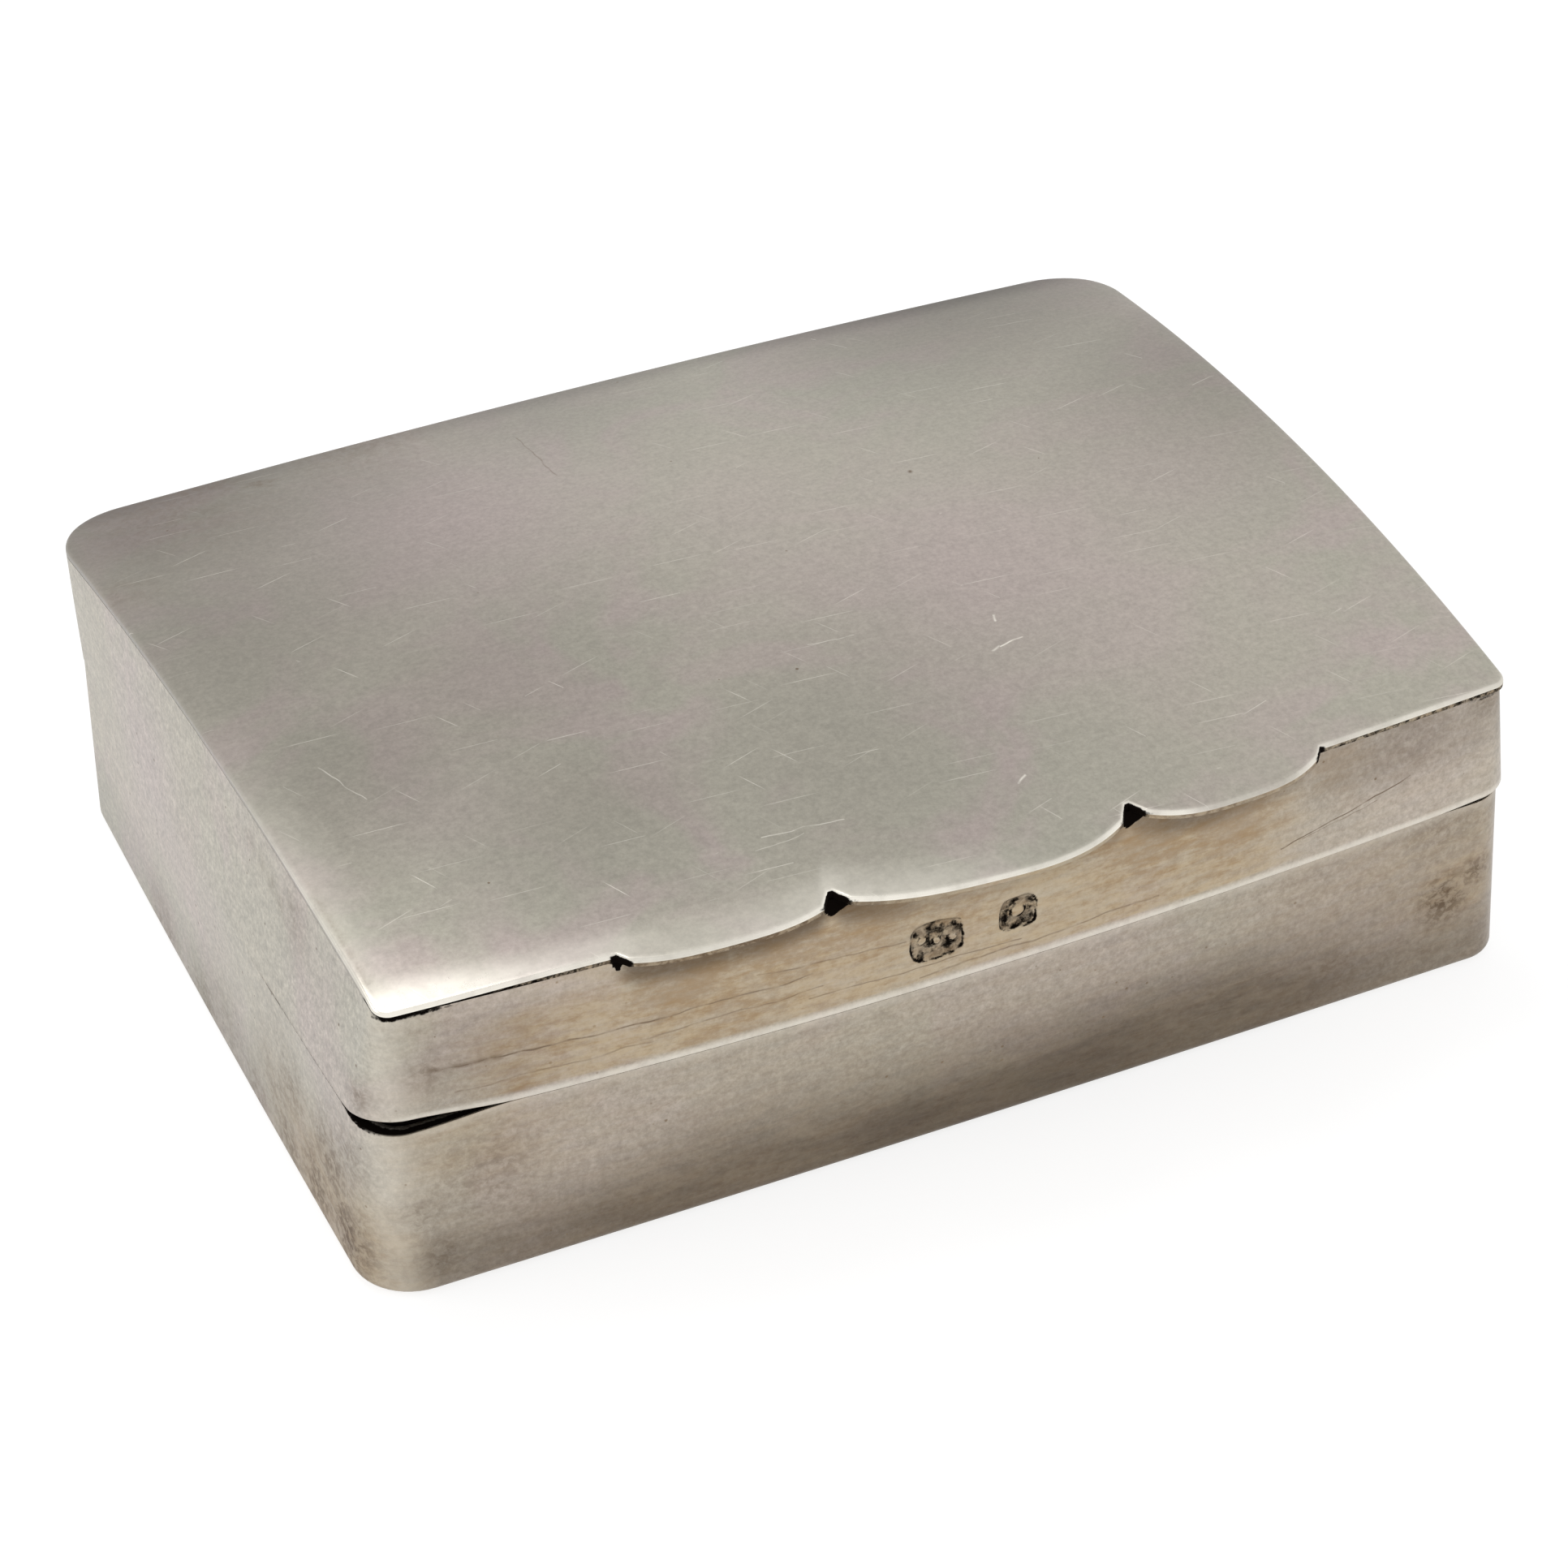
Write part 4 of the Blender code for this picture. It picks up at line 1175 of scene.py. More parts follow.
def punch_share(x, z):
    """How deep a place lies in a punch mark: one on its field, less on its pellets, nothing outside."""
    deepest = 0
    x += PUNCH_SHAKE[0] * ripple((x, 2e-3, z), PUNCH_RIPPLE)
    z += PUNCH_SHAKE[1] * ripple((x, 7e-3, z), PUNCH_RIPPLE)
    for mark in PUNCH_MARKS:
        across = abs(x - mark.x) / (mark.width / 2)
        up = abs(z - mark.z) / (mark.height / 2)
        field = PUNCH_EDGE.at((across**4 + up**4) ** (1 / 4))
        pitch = mark.width / (mark.pellets + 0.7)
        radius = min(pitch, mark.height) * 0.40
        for number in range(mark.pellets):
            centre = mark.x + pitch * (number - (mark.pellets - 1) / 2)
            middle = mark.z + 0.07 * mark.height * math.sin(2.3 * number + 1)
            away = math.hypot(x - centre, z - middle) / radius
            field *= 1 - 0.9 * PELLET_EDGE.at(away)
        deepest = max(deepest, field)
    return deepest


def is_punched(x, y):
    """Whether a place lies on the part of the front that holds the punch marks."""
    return in_front(y) > 0 and PUNCHED_SPAN[0] < x < PUNCHED_SPAN[1]


def struck(lip, point):
    """A point of the lid's outer face, sunk where a punch mark is struck in its front."""
    if not is_punched(point.x, point.y):
        return point
    return point + Vector((0, lip.punch_depth * punch_share(point.x, point.z), 0))


def knuckle_mesh(name, hinge, low, high):
    """A tube along X with rounded outer ends."""
    edge = hinge.end_edge
    profile = rounded_profile(low, high, edge, hinge.barrel_radius, edge, KNUCKLE_END_STEPS)
    profile += [(high.x, hinge.bore_radius), (low.x, hinge.bore_radius)]
    return bent_strip(name, turned_rings(profile, hinge.turns), True)


def pin_mesh(name, hinge, low, high):
    """The pin along X, its ends filed to low domes."""
    radius = hinge.pin_radius
    profile = rounded_profile(low, high, hinge.end_edge, radius, radius, PIN_END_STEPS)
    return bent_strip(name, turned_rings(profile, hinge.turns), False)


def rounded_profile(low, high, reach, radius, fall, steps):
    """(x, radius) pairs from end to end, where the radius falls off over a reach at both."""
    ends = [(reach * rise, radius - fall * run) for run, rise in quarter(steps)]
    return [(low.x + x, away) for x, away in ends] + [(high.x - x, away) for x, away in ends[::-1]]


def turned_rings(profile, turns):
    """Rings of points round the hinge's axis from (x, radius) pairs."""
    centre = hinge_axis()
    circle = [2 * math.pi * step / turns for step in range(turns)]
    return [
        [
            Vector((x, centre.y + radius * math.cos(turn), centre.z + radius * math.sin(turn)))
            for turn in circle
        ]
        for x, radius in profile
    ]


# Where age shows, and where shade, shadow and highlights are painted

# Painted shade on the plate's top, darker at its left, front and back
PLATE_PAINTED_SHADE = spots(
    (-21.5, 6.0, 13.3, 13.5, 0.45),
    (-18.0, -5.0, 13.6, 7.5, 0.40),
    (-11.5, -11.0, 13.6, 7.5, 0.36),
    (-3.0, -12.0, 13.6, 10.0, 0.28),
    (-13.0, -3.5, 14.0, 10.5, 0.34),
    (4.0, -15.0, 13.4, 7.5, 0.13),
    (-20.5, 17.0, 12.9, 13.0, 0.62),
    (-3.0, 20.0, 12.8, 8.5, 0.46),
    (16.0, 20.0, 12.8, 11.0, 0.70),
    (24.0, 7.0, 13.0, 10.0, 0.45),
)

PLATE_CASTS = spots(
    (-9.0, 8.2, 14.0, 6.0, 1.0),
    (7.5, -4.5, 14.1, 6.5, 0.9),
    (16.0, -1.5, 13.9, 4.5, 0.55),
    (-16.0, -9.0, 13.4, 2.5, 0.45),
    (1.0, 3.5, 14.3, 4.0, 0.45),
)

PLATE_STAINS = spots(
    (-18.5, 15.6, 12.9, 4.5, 0.30),
    (-10.5, 16.9, 12.8, 3.5, 0.26),
    (-16.6, 17.4, 12.8, 2.4, 0.50),
    (-9.6, 17.5, 12.9, 2.4, 0.48),
    (-14.3, 15.5, 13.1, 0.35, 0.9),
    (-21.6, 9.5, 12.9, 1.4, 0.35),
)

BASE_STAINS = spots(
    (19.3, -17.3, 3.6, 1.3, 0.95),
    (20.6, -17.1, 4.4, 0.8, 0.80),
    (18.6, -17.4, 2.0, 1.2, 0.30),
    (14.5, -17.3, 1.9, 1.9, 0.42),
    (19.0, -17.2, 7.2, 2.6, 0.42),
    (13.6, -17.6, 6.8, 2.0, 0.26),
    (-20.8, -17.2, 3.6, 1.1, 0.55),
    (-20.2, -17.3, 1.6, 1.2, 0.60),
    (-18.0, -17.4, 5.0, 2.2, 0.42),
    (-22.4, -14.7, 1.6, 1.9, 1.0),
    (-22.4, -13.4, 3.6, 2.2, 0.75),
    (-22.3, -15.2, 5.4, 1.5, 0.50),
    (-22.4, -9.6, 4.2, 2.0, 0.50),
    (-22.4, -11.6, 1.4, 2.0, 0.85),
    (-22.4, -8.6, 1.0, 1.8, 0.70),
    (-22.5, -8.0, 2.6, 2.6, 0.45),
    (-22.5, -2.0, 1.4, 2.6, 0.35),
    (-22.5, -11.0, 0.6, 1.6, 0.60),
    (-22.5, -5.0, 0.5, 1.8, 0.55),
    (-22.5, 1.0, 0.5, 1.8, 0.55),
    (-22.5, 6.0, 0.6, 1.8, 0.45),
)

LID_STAINS = spots(
    (-22.3, -8.9, 11.7, 0.40, 1.0),
    (-22.3, -8.1, 12.0, 0.45, 0.85),
    (-22.3, -7.2, 12.2, 0.40, 0.70),
    (-22.3, -6.0, 12.4, 0.40, 0.55),
    (-22.3, -10.2, 11.9, 1.2, 0.35),
    (-21.7, -16.2, 8.6, 0.7, 0.65),
    (-20.0, -17.3, 9.6, 0.8, 0.45),
    (17.5, -17.4, 11.4, 1.8, 0.32),
    (20.5, -17.0, 12.0, 0.8, 0.40),
)

# Dark deposits and painted shade on the bezel's front corners, behind the gap
BEZEL_DIRT_AND_SHADE = spots(
    (-21.0, -17.0, 7.5, 6.0, 0.75),
    (21.4, -17.0, 7.6, 2.6, 0.70),
)

LID_BROWN = spots(
    (-10.9, -17.6, 11.0, 1.7, 0.95),
    (-7.4, -17.5, 11.8, 1.8, 1.0),
    (-4.0, -17.5, 11.7, 1.7, 0.95),
    (-1.0, -17.8, 10.9, 1.4, 0.40),
    (6.6, -17.5, 11.7, 2.2, 0.95),
    (9.8, -17.4, 11.0, 1.9, 0.90),
    (14.2, -17.3, 11.4, 2.3, 0.75),
    (-16.5, -17.3, 9.4, 1.8, 0.36),
    (-9.0, -17.9, 8.7, 1.8, 0.45),
)

WALL_CASTS = spots(
    (18.0, -17.3, 10.2, 4.0, 0.75),
    (15.0, -17.3, 4.5, 5.0, 0.70),
    (-14.0, -17.4, 3.0, 6.0, 0.55),
    (-22.5, 5.5, 8.4, 3.6, 1.0),
    (-22.5, -1.0, 6.0, 2.6, 0.5),
    (-22.5, -12.5, 9.0, 2.2, 0.6),
)

PLATE_SCRATCHES = strokes(
    (-4.4, 13.4, -4.3, 9.5, 0.05, 0.45),
    (7.60, 3.05, 7.62, 3.1, 0.14, 0.9),
)

PLATE_GLINTS = strokes(
    (-19.0, -5.0, -18.1, -7.4, 0.035, 0.40),
    (-6.7, -14.8, -3.7, -15.2, 0.035, 0.45),
    (-7.1, -15.3, -5.2, -15.3, 0.030, 0.30),
    (5.40, -8.95, 6.30, -8.75, 0.060, 0.75),
    (5.10, -9.05, 5.35, -8.90, 0.080, 0.55),
    (5.85, -7.45, 5.95, -7.15, 0.080, 0.75),
    (-0.8, -6.0, 0.9, -6.15, 0.035, 0.40),
    (2.5, -15.8, 2.9, -15.5, 0.070, 0.60),
)

LID_SCRATCHES = strokes(
    (-19.6, 9.62, -11.6, 9.42, 0.060, 0.80),
    (-11.6, 9.42, -6.3, 9.62, 0.050, 0.60),
    (-19.8, 9.66, -17.4, 9.55, 0.160, 0.55),
    (-19.0, 8.55, -12.0, 8.60, 0.050, 0.45),
    (-12.5, 8.75, -6.0, 9.00, 0.045, 0.50),
    (-8.4, 10.2, -2.9, 9.85, 0.045, 0.50),
    (-6.5, 8.60, 1.5, 8.45, 0.045, 0.60),
    (-2.4, 8.05, 6.8, 8.50, 0.060, 0.55),
    (11.9, 8.70, 17.3, 9.78, 0.045, 0.90),
    (12.8, 8.80, 16.0, 9.30, 0.035, 0.55),
)

# Painted highlight along the plate's front edge, with rubbing
EDGE_GLOW = stations(
    (-21.0, 1.0), (-13.0, 0.80), (-12.0, 0.62), (-9.0, 0.66), (-6.4, 0.95), (-5.0, 1.0),
    (-3.0, 0.95), (1.5, 0.78), (3.2, 0.66), (4.8, 0.90), (6.0, 0.80), (7.3, 0.88),
    (8.3, 0.30), (11.3, 0.30), (12.6, 0.76), (14.0, 0.50), (17.0, 0.70), (21.0, 0.60),
)

EDGE_SHADE = stations(
    (-21.0, 0.35), (-14.0, 0.35), (-12.6, 0.90), (-6.0, 0.90), (-4.8, 0.75), (-3.0, 0.45),
    (-1.5, 0.15), (4.5, 0.10), (5.1, 0.30), (6.2, 0.45), (7.6, 0.70), (9.2, 0.72),
    (10.0, 0.50), (13.0, 0.40), (21.0, 0.30),
)

FOOT_SHADE = stations(
    (-21.0, 0.36), (-17.0, 0.22), (-12.0, 0.03), (-6.0, 0.10), (-3.0, 0.37), (4.5, 0.31),
    (8.0, 0.08), (12.0, 0.08), (15.5, 0.27), (21.0, 0.14),
)

# How far down the lip shelters the wall, as a share of its reach, which is where the painted shade under it
# starts, and how finely that is looked up.
SHELTER_SLOPE = 0.75
COLUMNS_PER_METRE = 2e4

LEFT_END, LEFT_WALL = Fade(-20e-3, -19e-3), Fade(-21.5e-3, -19e-3)
LEFT_FRONT = Bump(-20.8e-3, 3.2e-3)

# The plate, by X, Y and the distance from its edge
# Painted shade along the plate's back edge
BACK_PAINTED_SHADE = Patch(0.26, Fade(16.8e-3, 15.3e-3))
# Painted highlights, with rubbing: along the left edge, broadly near the lip's middle, along the edge and at
# the left front corner
LEFT_RUB_AND_SHEEN = Patch(0.50, LEFT_END, Fade(-12e-3, 2e-3))
WIDE_SHEEN = Patch(0.34, Fade(-3.0e-3, 3.0e-3), Fade(0.1e-3, 1.9e-3))
EDGE_RUB_AND_SHEEN = Fade(0.04e-3, 0.17e-3)
CORNER_RUB_AND_SHEEN = Bump(-21.4e-3, 6.5e-3)
LEFT_STAIN = Patch(0.42, LEFT_END, Fade(-13e-3, -9e-3), Bump(0.26e-3, 0.12e-3))
STEP_GAP = 0.4e-3
# Reach of the painted shadow at the notches and at the lip's end steps
NOTCH_SHADE_REACH, STEP_SHADE_REACH = 0.50e-3, 0.28e-3

# The lid's wall, by X, Y, and the height over its rim or the depth under its crest or its lip's shelter
UNDER_LIP = Plateau(0, 12.6e-3, 13.6e-3)
LID_TARNISH = Patch(0.94, Plateau(-3.0e-3, 13.0e-3, 18.5e-3), Fade(0.42e-3, 0.20e-3))
GREY_END = Patch(0.62, Bump(-18.0e-3, 5.5e-3), Fade(0.5e-3, 2.0e-3))
# Painted shade: the lip's shadow on the wall, and darker at both ends of the lid's wall
LIP_SHADE_VEIL = Patch(0.72, UNDER_LIP, Fade(0.30e-3, 1.15e-3))
LEFT_END_SHADE_VEIL = Patch(0.22, Bump(-18.5e-3, 3.0e-3), Fade(1.2e-3, 0.2e-3))
RIGHT_END_SHADE_VEIL = Patch(0.22, Fade(14e-3, 12e-3), Fade(1.6e-3, 3.2e-3))
# Painted shadow of the split at the left, and stains with painted shade under the lip
RIM_SPLIT_SHADE = Patch(0.9, Fade(0.02e-3, 0.10e-3), Fade(-8.5e-3, -5.5e-3))
LIP_STAIN_AND_SHADE = Patch(0.50, UNDER_LIP, Fade(0.05e-3, 0.60e-3))
# A pale band along the lid's lower edge in front: rubbing with a painted highlight
RIM_RUB_AND_SHEEN = Patch(0.50, Fade(0.12e-3, 0.32e-3))
LID_CORNER, BASE_CORNER = (-21.6e-3, -17.6e-3), (-21.8e-3, -17.5e-3)
# Painted highlight with rubbing down the left front corners
CORNER_WEAR_AND_SHEEN = Patch(0.36, Bump(0, 1.1e-3))
# Painted shadow along the split on the left side
LID_SPLIT_SHADOW = Patch(0.62, Fade(0.03e-3, 0.09e-3), Fade(-10e-3, -5e-3))
# Painted shadow under the plate's edge and ends, and in the hollows under the notches and end steps
SEAM_PAINTED_SHADOW = Patch(1, Fade(0.02e-3, 0.13e-3), Plateau(0, 13.5e-3, 13.0e-3))
END_PAINTED_SHADOW = (Patch(0.75, Bump(-20.8e-3, 2.0e-3)), Patch(0.42, Bump(20.4e-3, 1.0e-3)))
END_SEAM = Fade(0.24e-3, 0.38e-3)
NOTCH_HOLLOW, STEP_HOLLOW = Fade(0.66e-3, 0.72e-3), Fade(0.85, 1.05)
STEP_HOLLOW_WIDTH, STEP_HOLLOW_HEIGHT = 0.34e-3, 0.65e-3

# The punch marks, by their depth and by height
# Dark deposits with painted shade in the punch marks' sunk edges
PUNCH_WALL, PUNCH_SLOPE = Bump(0.45, 0.32), Patch(0.36, Fade(0.95, 0.60))
PUNCH_LOW = Patch(0.30, Fade(9.2e-3, 10.2e-3))
PUNCH_TEAR = 0.36e-3

# The base's wall, by X and Z, or by the depth under its rim
BASE_TARNISH = (
    Patch(0.16, Fade(16e-3, 9e-3), Fade(5.5e-3, 3.0e-3)),
    Patch(0.24, Bump(-18.5e-3, 3.0e-3), Fade(6.0e-3, 3.5e-3)),
    Patch(0.425, Bump(19.8e-3, 2.0e-3), Bump(3.8e-3, 1.7e-3)),
)
LEFT_TARNISH = Patch(0.75, LEFT_WALL, Fade(2e-3, 6e-3), Fade(-13e-3, -3e-3))
# Painted shade on the base's front, darker towards its foot, and on its left wall
PAINTED_SHADE_SPAN, PAINTED_SHADE_RIGHT = Plateau(-1e-3, 11e-3, 19.5e-3), Bump(11e-3, 9e-3)
PAINTED_SHADE_FOOT, PAINTED_SHADE_TOP, PAINTED_SHADE_RISE = 0.9e-3, 4.9e-3, Patch(1.7e-3, Fade(-9e-3, -15e-3))
PAINTED_SHADE_ENDS = (Patch(0.03, Fade(6e-3, 1e-3)), Patch(0.11, Fade(18e-3, 13e-3)))
LEFT_WALL_PAINTED_SHADE = Patch(0.20, LEFT_WALL, Fade(1e-3, 5e-3))
# Painted shade low on the base's front and in a patch right of its middle
FOOT_SHADE_VEIL = Fade(1.2e-3, 3.2e-3)
MIDDLE_SHADE_VEIL = Patch(0.15, Bump(6.0e-3, 5.0e-3), Fade(3.8e-3, 5.6e-3))
SPECKLES_RIGHT, SPECKLES_LOW = Patch(0.07, Fade(16e-3, 9e-3)), Patch(0.10, Fade(0.8e-3, 3.0e-3))
# A pale band under the base's rim in front: rubbing with a painted highlight
BASE_RIM_RUB_AND_SHEEN = Patch(0.16, Fade(0.02e-3, 0.5e-3))
# Painted shadow along the split on the left side
BASE_SPLIT_SHADOW = Patch(0.62, Fade(0.02e-3, 0.08e-3), Fade(-10e-3, -5e-3), LEFT_END)
# Painted shadow on the base rim's flat near the front corners, where the gap is dark
RIM_CORNERS = (
    ((-21.5e-3, -17.6e-3), Fade(4.2e-3, 6.6e-3)),
    ((21.5e-3, -17.6e-3), Fade(1.8e-3, 3.4e-3)),
)


def share_along(table, x):
    """A share read from a table of (x, share) pairs, with straight lines between them."""
    if x <= table[0][0]:
        return table[0][1]
    for (x0, share0), (x1, share1) in zip(table, table[1:]):
        if x < x1:
            return share0 + (share1 - share0) * (x - x0) / (x1 - x0)
    return table[-1][1]


def lip_gaps(lip):
    """Places along the length of both notches and of both steps at the lip's ends."""
    gap = (lip.centre_width + lip.notch_width) / 2
    end = lip.centre_width / 2 + lip.notch_width + lip.side_width + lip.step_width * 0.6
    return (-gap, gap), (-end, end)


def paint_plate(piece, sizes, lip):
    """Painted shade, casts and stains on the plate's top, edges bright from rubbing and painted highlights,
    and painted shadow low on its edge.
    """
    notches, steps = lip_gaps(lip)
    edge = plate_section(sizes, lip)

    # Painted shade on the plate's top
    def film(x, y, z, depth):
        return spotted(PLATE_PAINTED_SHADE, x, y, z) + BACK_PAINTED_SHADE.at(y)

    # Painted highlights on the plate's edges and left front corner, with rubbing
    def worn(x, y, z, depth):
        if depth < 0:
            return 0
        front = in_front(y) * share_along(EDGE_GLOW, x)
        wide = WIDE_SHEEN.at(x, depth)
        ramp = (1 - wide) * EDGE_RUB_AND_SHEEN.at(depth) + wide
        along = CORNER_RUB_AND_SHEEN.at(x)
        corner = 0.90 * along * fade(y - front_edge(edge, x), 0.1e-3, 1.0e-3 + 0.9e-3 * along)
        return max(ramp * max(front, LEFT_RUB_AND_SHEEN.at(x, y), 0.10), corner)

    # Painted shadow in the notches and end steps, and under the plate's plain front ends
    def grime(x, y, z, depth):
        outside = -1.5 * sizes.plate_burr < depth < 0.6 * sizes.plate_edge
        if not outside or not in_front(y):
            return 0
        low = fade(depth, 0, sizes.plate_edge * 0.6)
        plain = fade(abs(x), steps[1] + STEP_GAP, steps[1]) * (0.42 + 0.5 * LEFT_FRONT.at(x))
        near_gaps = [bump_at(x, gap, NOTCH_SHADE_REACH) for gap in notches]
        near_gaps += [bump_at(x, gap, STEP_SHADE_REACH) for gap in steps]
        return max(low * min(1.3 * max(near_gaps), 1), plain if depth < 0 else 0)

    def stain(x, y, z, depth):
        if depth < 0:
            # The plate's front edge face: painted shade with stains
            return share_along(EDGE_SHADE, x) * in_front(y)
        return max(LEFT_STAIN.at(x, y, depth), spotted(PLATE_STAINS, x, y, z))

    def tarnish(x, y, z, depth):
        # The plate's front edge face: tarnish with painted shade
        return 0.9 * in_front(y) if depth < 0 else 0

    paint(piece, film=film, cast=PLATE_CASTS, worn=worn, grime=grime, stain=stain, tarnish=tarnish)


def notch_hollow(across, low):
    """Share of painted shadow in the corner under a notch: a wedge that runs out to the right."""
    return NOTCH_HOLLOW.at(max(low + 0.49 * across, low - 0.9 * across))


def paint_lid_wall(piece, sizes, lip):
    """Tarnish, stains and painted shade under the lip, a lower edge bright from rubbing and a painted
    highlight, and painted shadow in the seam and notches.
    """
    notches, steps = lip_gaps(lip)
    profile = lip_profile(lip)
    shelters = {}

    def over_rim(x, y, z):
        return z - lid_rim_height(sizes, x, y)

    def under_crest(x, y, z):
        return crest_height(sizes, x, y) - z

    def under_shelter(x, y, z):
        column = round(x * COLUMNS_PER_METRE)
        if column not in shelters:
            shelters[column] = (share_along(profile, x) + lip.overhang) * SHELTER_SLOPE
        return under_crest(x, y, z) - shelters[column]

    def tarnish(x, y, z, inside):
        if not in_front(y):
            return 0
        body = LID_TARNISH.at(x, over_rim(x, y, z)) * (1 - GREY_END.at(x, under_crest(x, y, z)))
        return max(body, 0.34, 0.80 * spotted(LID_BROWN, x, y, z)) * in_front(y)

    # Painted shade: the lip's shadow on the wall, and darker ends
    def veil(x, y, z, inside):
        if not in_front(y):
            return 0
        under_lip = LIP_SHADE_VEIL.at(x, under_shelter(x, y, z)) * (0.20 + 0.80 * share_along(EDGE_SHADE, x))
        low = under_crest(x, y, z)
        return max(under_lip, LEFT_END_SHADE_VEIL.at(x, low), RIGHT_END_SHADE_VEIL.at(x, low))

    def stain(x, y, z, inside):
        if not in_front(y):
            # Painted shadow of the split along the left side
            line = RIM_SPLIT_SHADE.at(over_rim(x, y, z), y)
            return max(line * (x < 0), spotted(LID_STAINS, x, y, z))
        # Stains and painted shade under the lip
        band = share_along(EDGE_SHADE, x) * LIP_STAIN_AND_SHADE.at(x, under_shelter(x, y, z))
        foot = 0.62 * punch_share(x, z) if is_punched(x, y) else 0
        return max(band, foot, spotted(LID_STAINS, x, y, z))

    # Painted highlights with rubbing: along the lower edge in front and down the left front corner
    def worn(x, y, z, inside):
        edge = RIM_RUB_AND_SHEEN.at(over_rim(x, y, z)) * in_front(y)
        return max(edge, CORNER_WEAR_AND_SHEEN.at(away_from(LID_CORNER, x, y)))

    # Painted shadow: along the split at the left, under the plate's edge and in the hollows under the notches
    def seam_painted_shadow(x, y, z, inside):
        if not in_front(y):
            return LID_SPLIT_SHADOW.at(over_rim(x, y, z), y) * (inside == 0 and x < 0)
        if inside > 0:
            return 0
        low = max(under_crest(x, y, z), 0)
        under_end = max(end.at(x) for end in END_PAINTED_SHADOW) * END_SEAM.at(low)
        hollows = [notch_hollow(x - gap, low) for gap in notches]
        for step in steps:
            away = abs(x - step) / STEP_HOLLOW_WIDTH + low / STEP_HOLLOW_HEIGHT
            hollows.append(STEP_HOLLOW.at(away))
        return max(SEAM_PAINTED_SHADOW.at(low, x), under_end, *hollows) * in_front(y)

    # Dark deposits with painted shade in the punch marks' sunk edges
    def punch_dirt_and_shade(x, y, z):
        if not is_punched(x, y):
            return 0
        share = punch_share(x, z)
        if share < 0.02:
            return 0
        torn = ripple((x, 0, z), PUNCH_TEAR)
        wall = PUNCH_WALL.at(share) * (0.42 + PUNCH_LOW.at(z) + 0.50 * torn)
        return max(wall, PUNCH_SLOPE.at(share) * (1 + torn))

    def grime(x, y, z, inside):
        return max(seam_painted_shadow(x, y, z, inside), punch_dirt_and_shade(x, y, z))

    paint(piece, tarnish=tarnish, brown=LID_BROWN, veil=veil, stain=stain)
    paint(piece, worn=worn, cast=WALL_CASTS, grime=grime)


def paint_base_wall(piece, sizes):
    """A grey-brown painted shade that darkens towards the foot, stains at the corners, and painted shadow on
    the rim's flat and along the split at the left.
    """

    def under_rim(x, y, z):
        return base_rim_height(sizes, x, y) - z

    def tarnish(x, y, z, inside):
        body = 0.34 + sum(patch.at(x, z) for patch in BASE_TARNISH)
        return max(body * in_front(y), LEFT_TARNISH.at(x, z, y))

    # Painted shade, darker towards the foot, for the shadowed floor that the wall reflects
    def film(x, y, z, inside):
        along = (0.60 + 0.22 * PAINTED_SHADE_RIGHT.at(x)) * PAINTED_SHADE_SPAN.at(x)
        low = fade(z, PAINTED_SHADE_FOOT, PAINTED_SHADE_TOP + PAINTED_SHADE_RISE.at(x))
        body = 0.05 + low * (0.36 + along) + sum(end.at(x) for end in PAINTED_SHADE_ENDS)
        return max(in_front(y) * body, LEFT_WALL_PAINTED_SHADE.at(x, z))

    # Painted shade towards the foot and right of the middle
    def veil(x, y, z, inside):
        foot = share_along(FOOT_SHADE, x) * FOOT_SHADE_VEIL.at(z)
        return (foot + MIDDLE_SHADE_VEIL.at(x, z)) * in_front(y)

    def stain(x, y, z, inside):
        speckled = 0.13 + SPECKLES_RIGHT.at(x) + SPECKLES_LOW.at(z)
        return max(speckled * in_front(y), spotted(BASE_STAINS, x, y, z))

    # Painted highlights with rubbing: under the rim in front and down the left front corner
    def worn(x, y, z, inside):
        rim = BASE_RIM_RUB_AND_SHEEN.at(under_rim(x, y, z)) * in_front(y)
        return max(rim, CORNER_WEAR_AND_SHEEN.at(away_from(BASE_CORNER, x, y)))

    def grime(x, y, z, inside):
        # Painted shadow along the split at the left
        if inside <= 0:
            return BASE_SPLIT_SHADOW.at(under_rim(x, y, z), y, x) * (1 - in_front(y))
        if inside > sizes.wall * 0.9:
            return 0
        # Painted shadow on the rim's flat near the front corners
        return max(bound.at(away_from(corner, x, y)) for corner, bound in RIM_CORNERS)

    paint(piece, tarnish=tarnish, film=film, veil=veil, stain=stain)
    paint(piece, cast=WALL_CASTS, worn=worn, grime=grime)


def plate_finish(colours):
    """Silver of the lid plate, brushed along the box."""
    tones = (colours.silver, colours.cool, colours.warm)
    look = Look(
        tones=tones,
        roughness=0.33,
        streak=(0.45, 6.5, 1.0),
        brushing=0.016,
        thin=1,
        grain=0.10,
        mottle=0.055,
        scratches=0.40,
        pits=0.34,
        pit_spacing=1.4,
    )
    return silver_finish("plate_silver", colours, look, PLATE_SCRATCHES, PLATE_GLINTS)


def wall_finish(name, colours, marks=()):
    """Silver of the walls, brushed along the strip that they are bent from."""
    tones = (colours.wall, colours.wall_cool, colours.wall_warm)
    look = Look(
        tones=tones,
        roughness=0.42,
        streak=(0.5, 0.5, 5.0),
        brushing=0.06,
        thin=2,
        grain=0.20,
        mottle=0.13,
        scratches=0.08,
        pits=0.75,
        pit_spacing=0.8,
    )
    return silver_finish(name, colours, look, marks, plane=FRONT_PLANE)


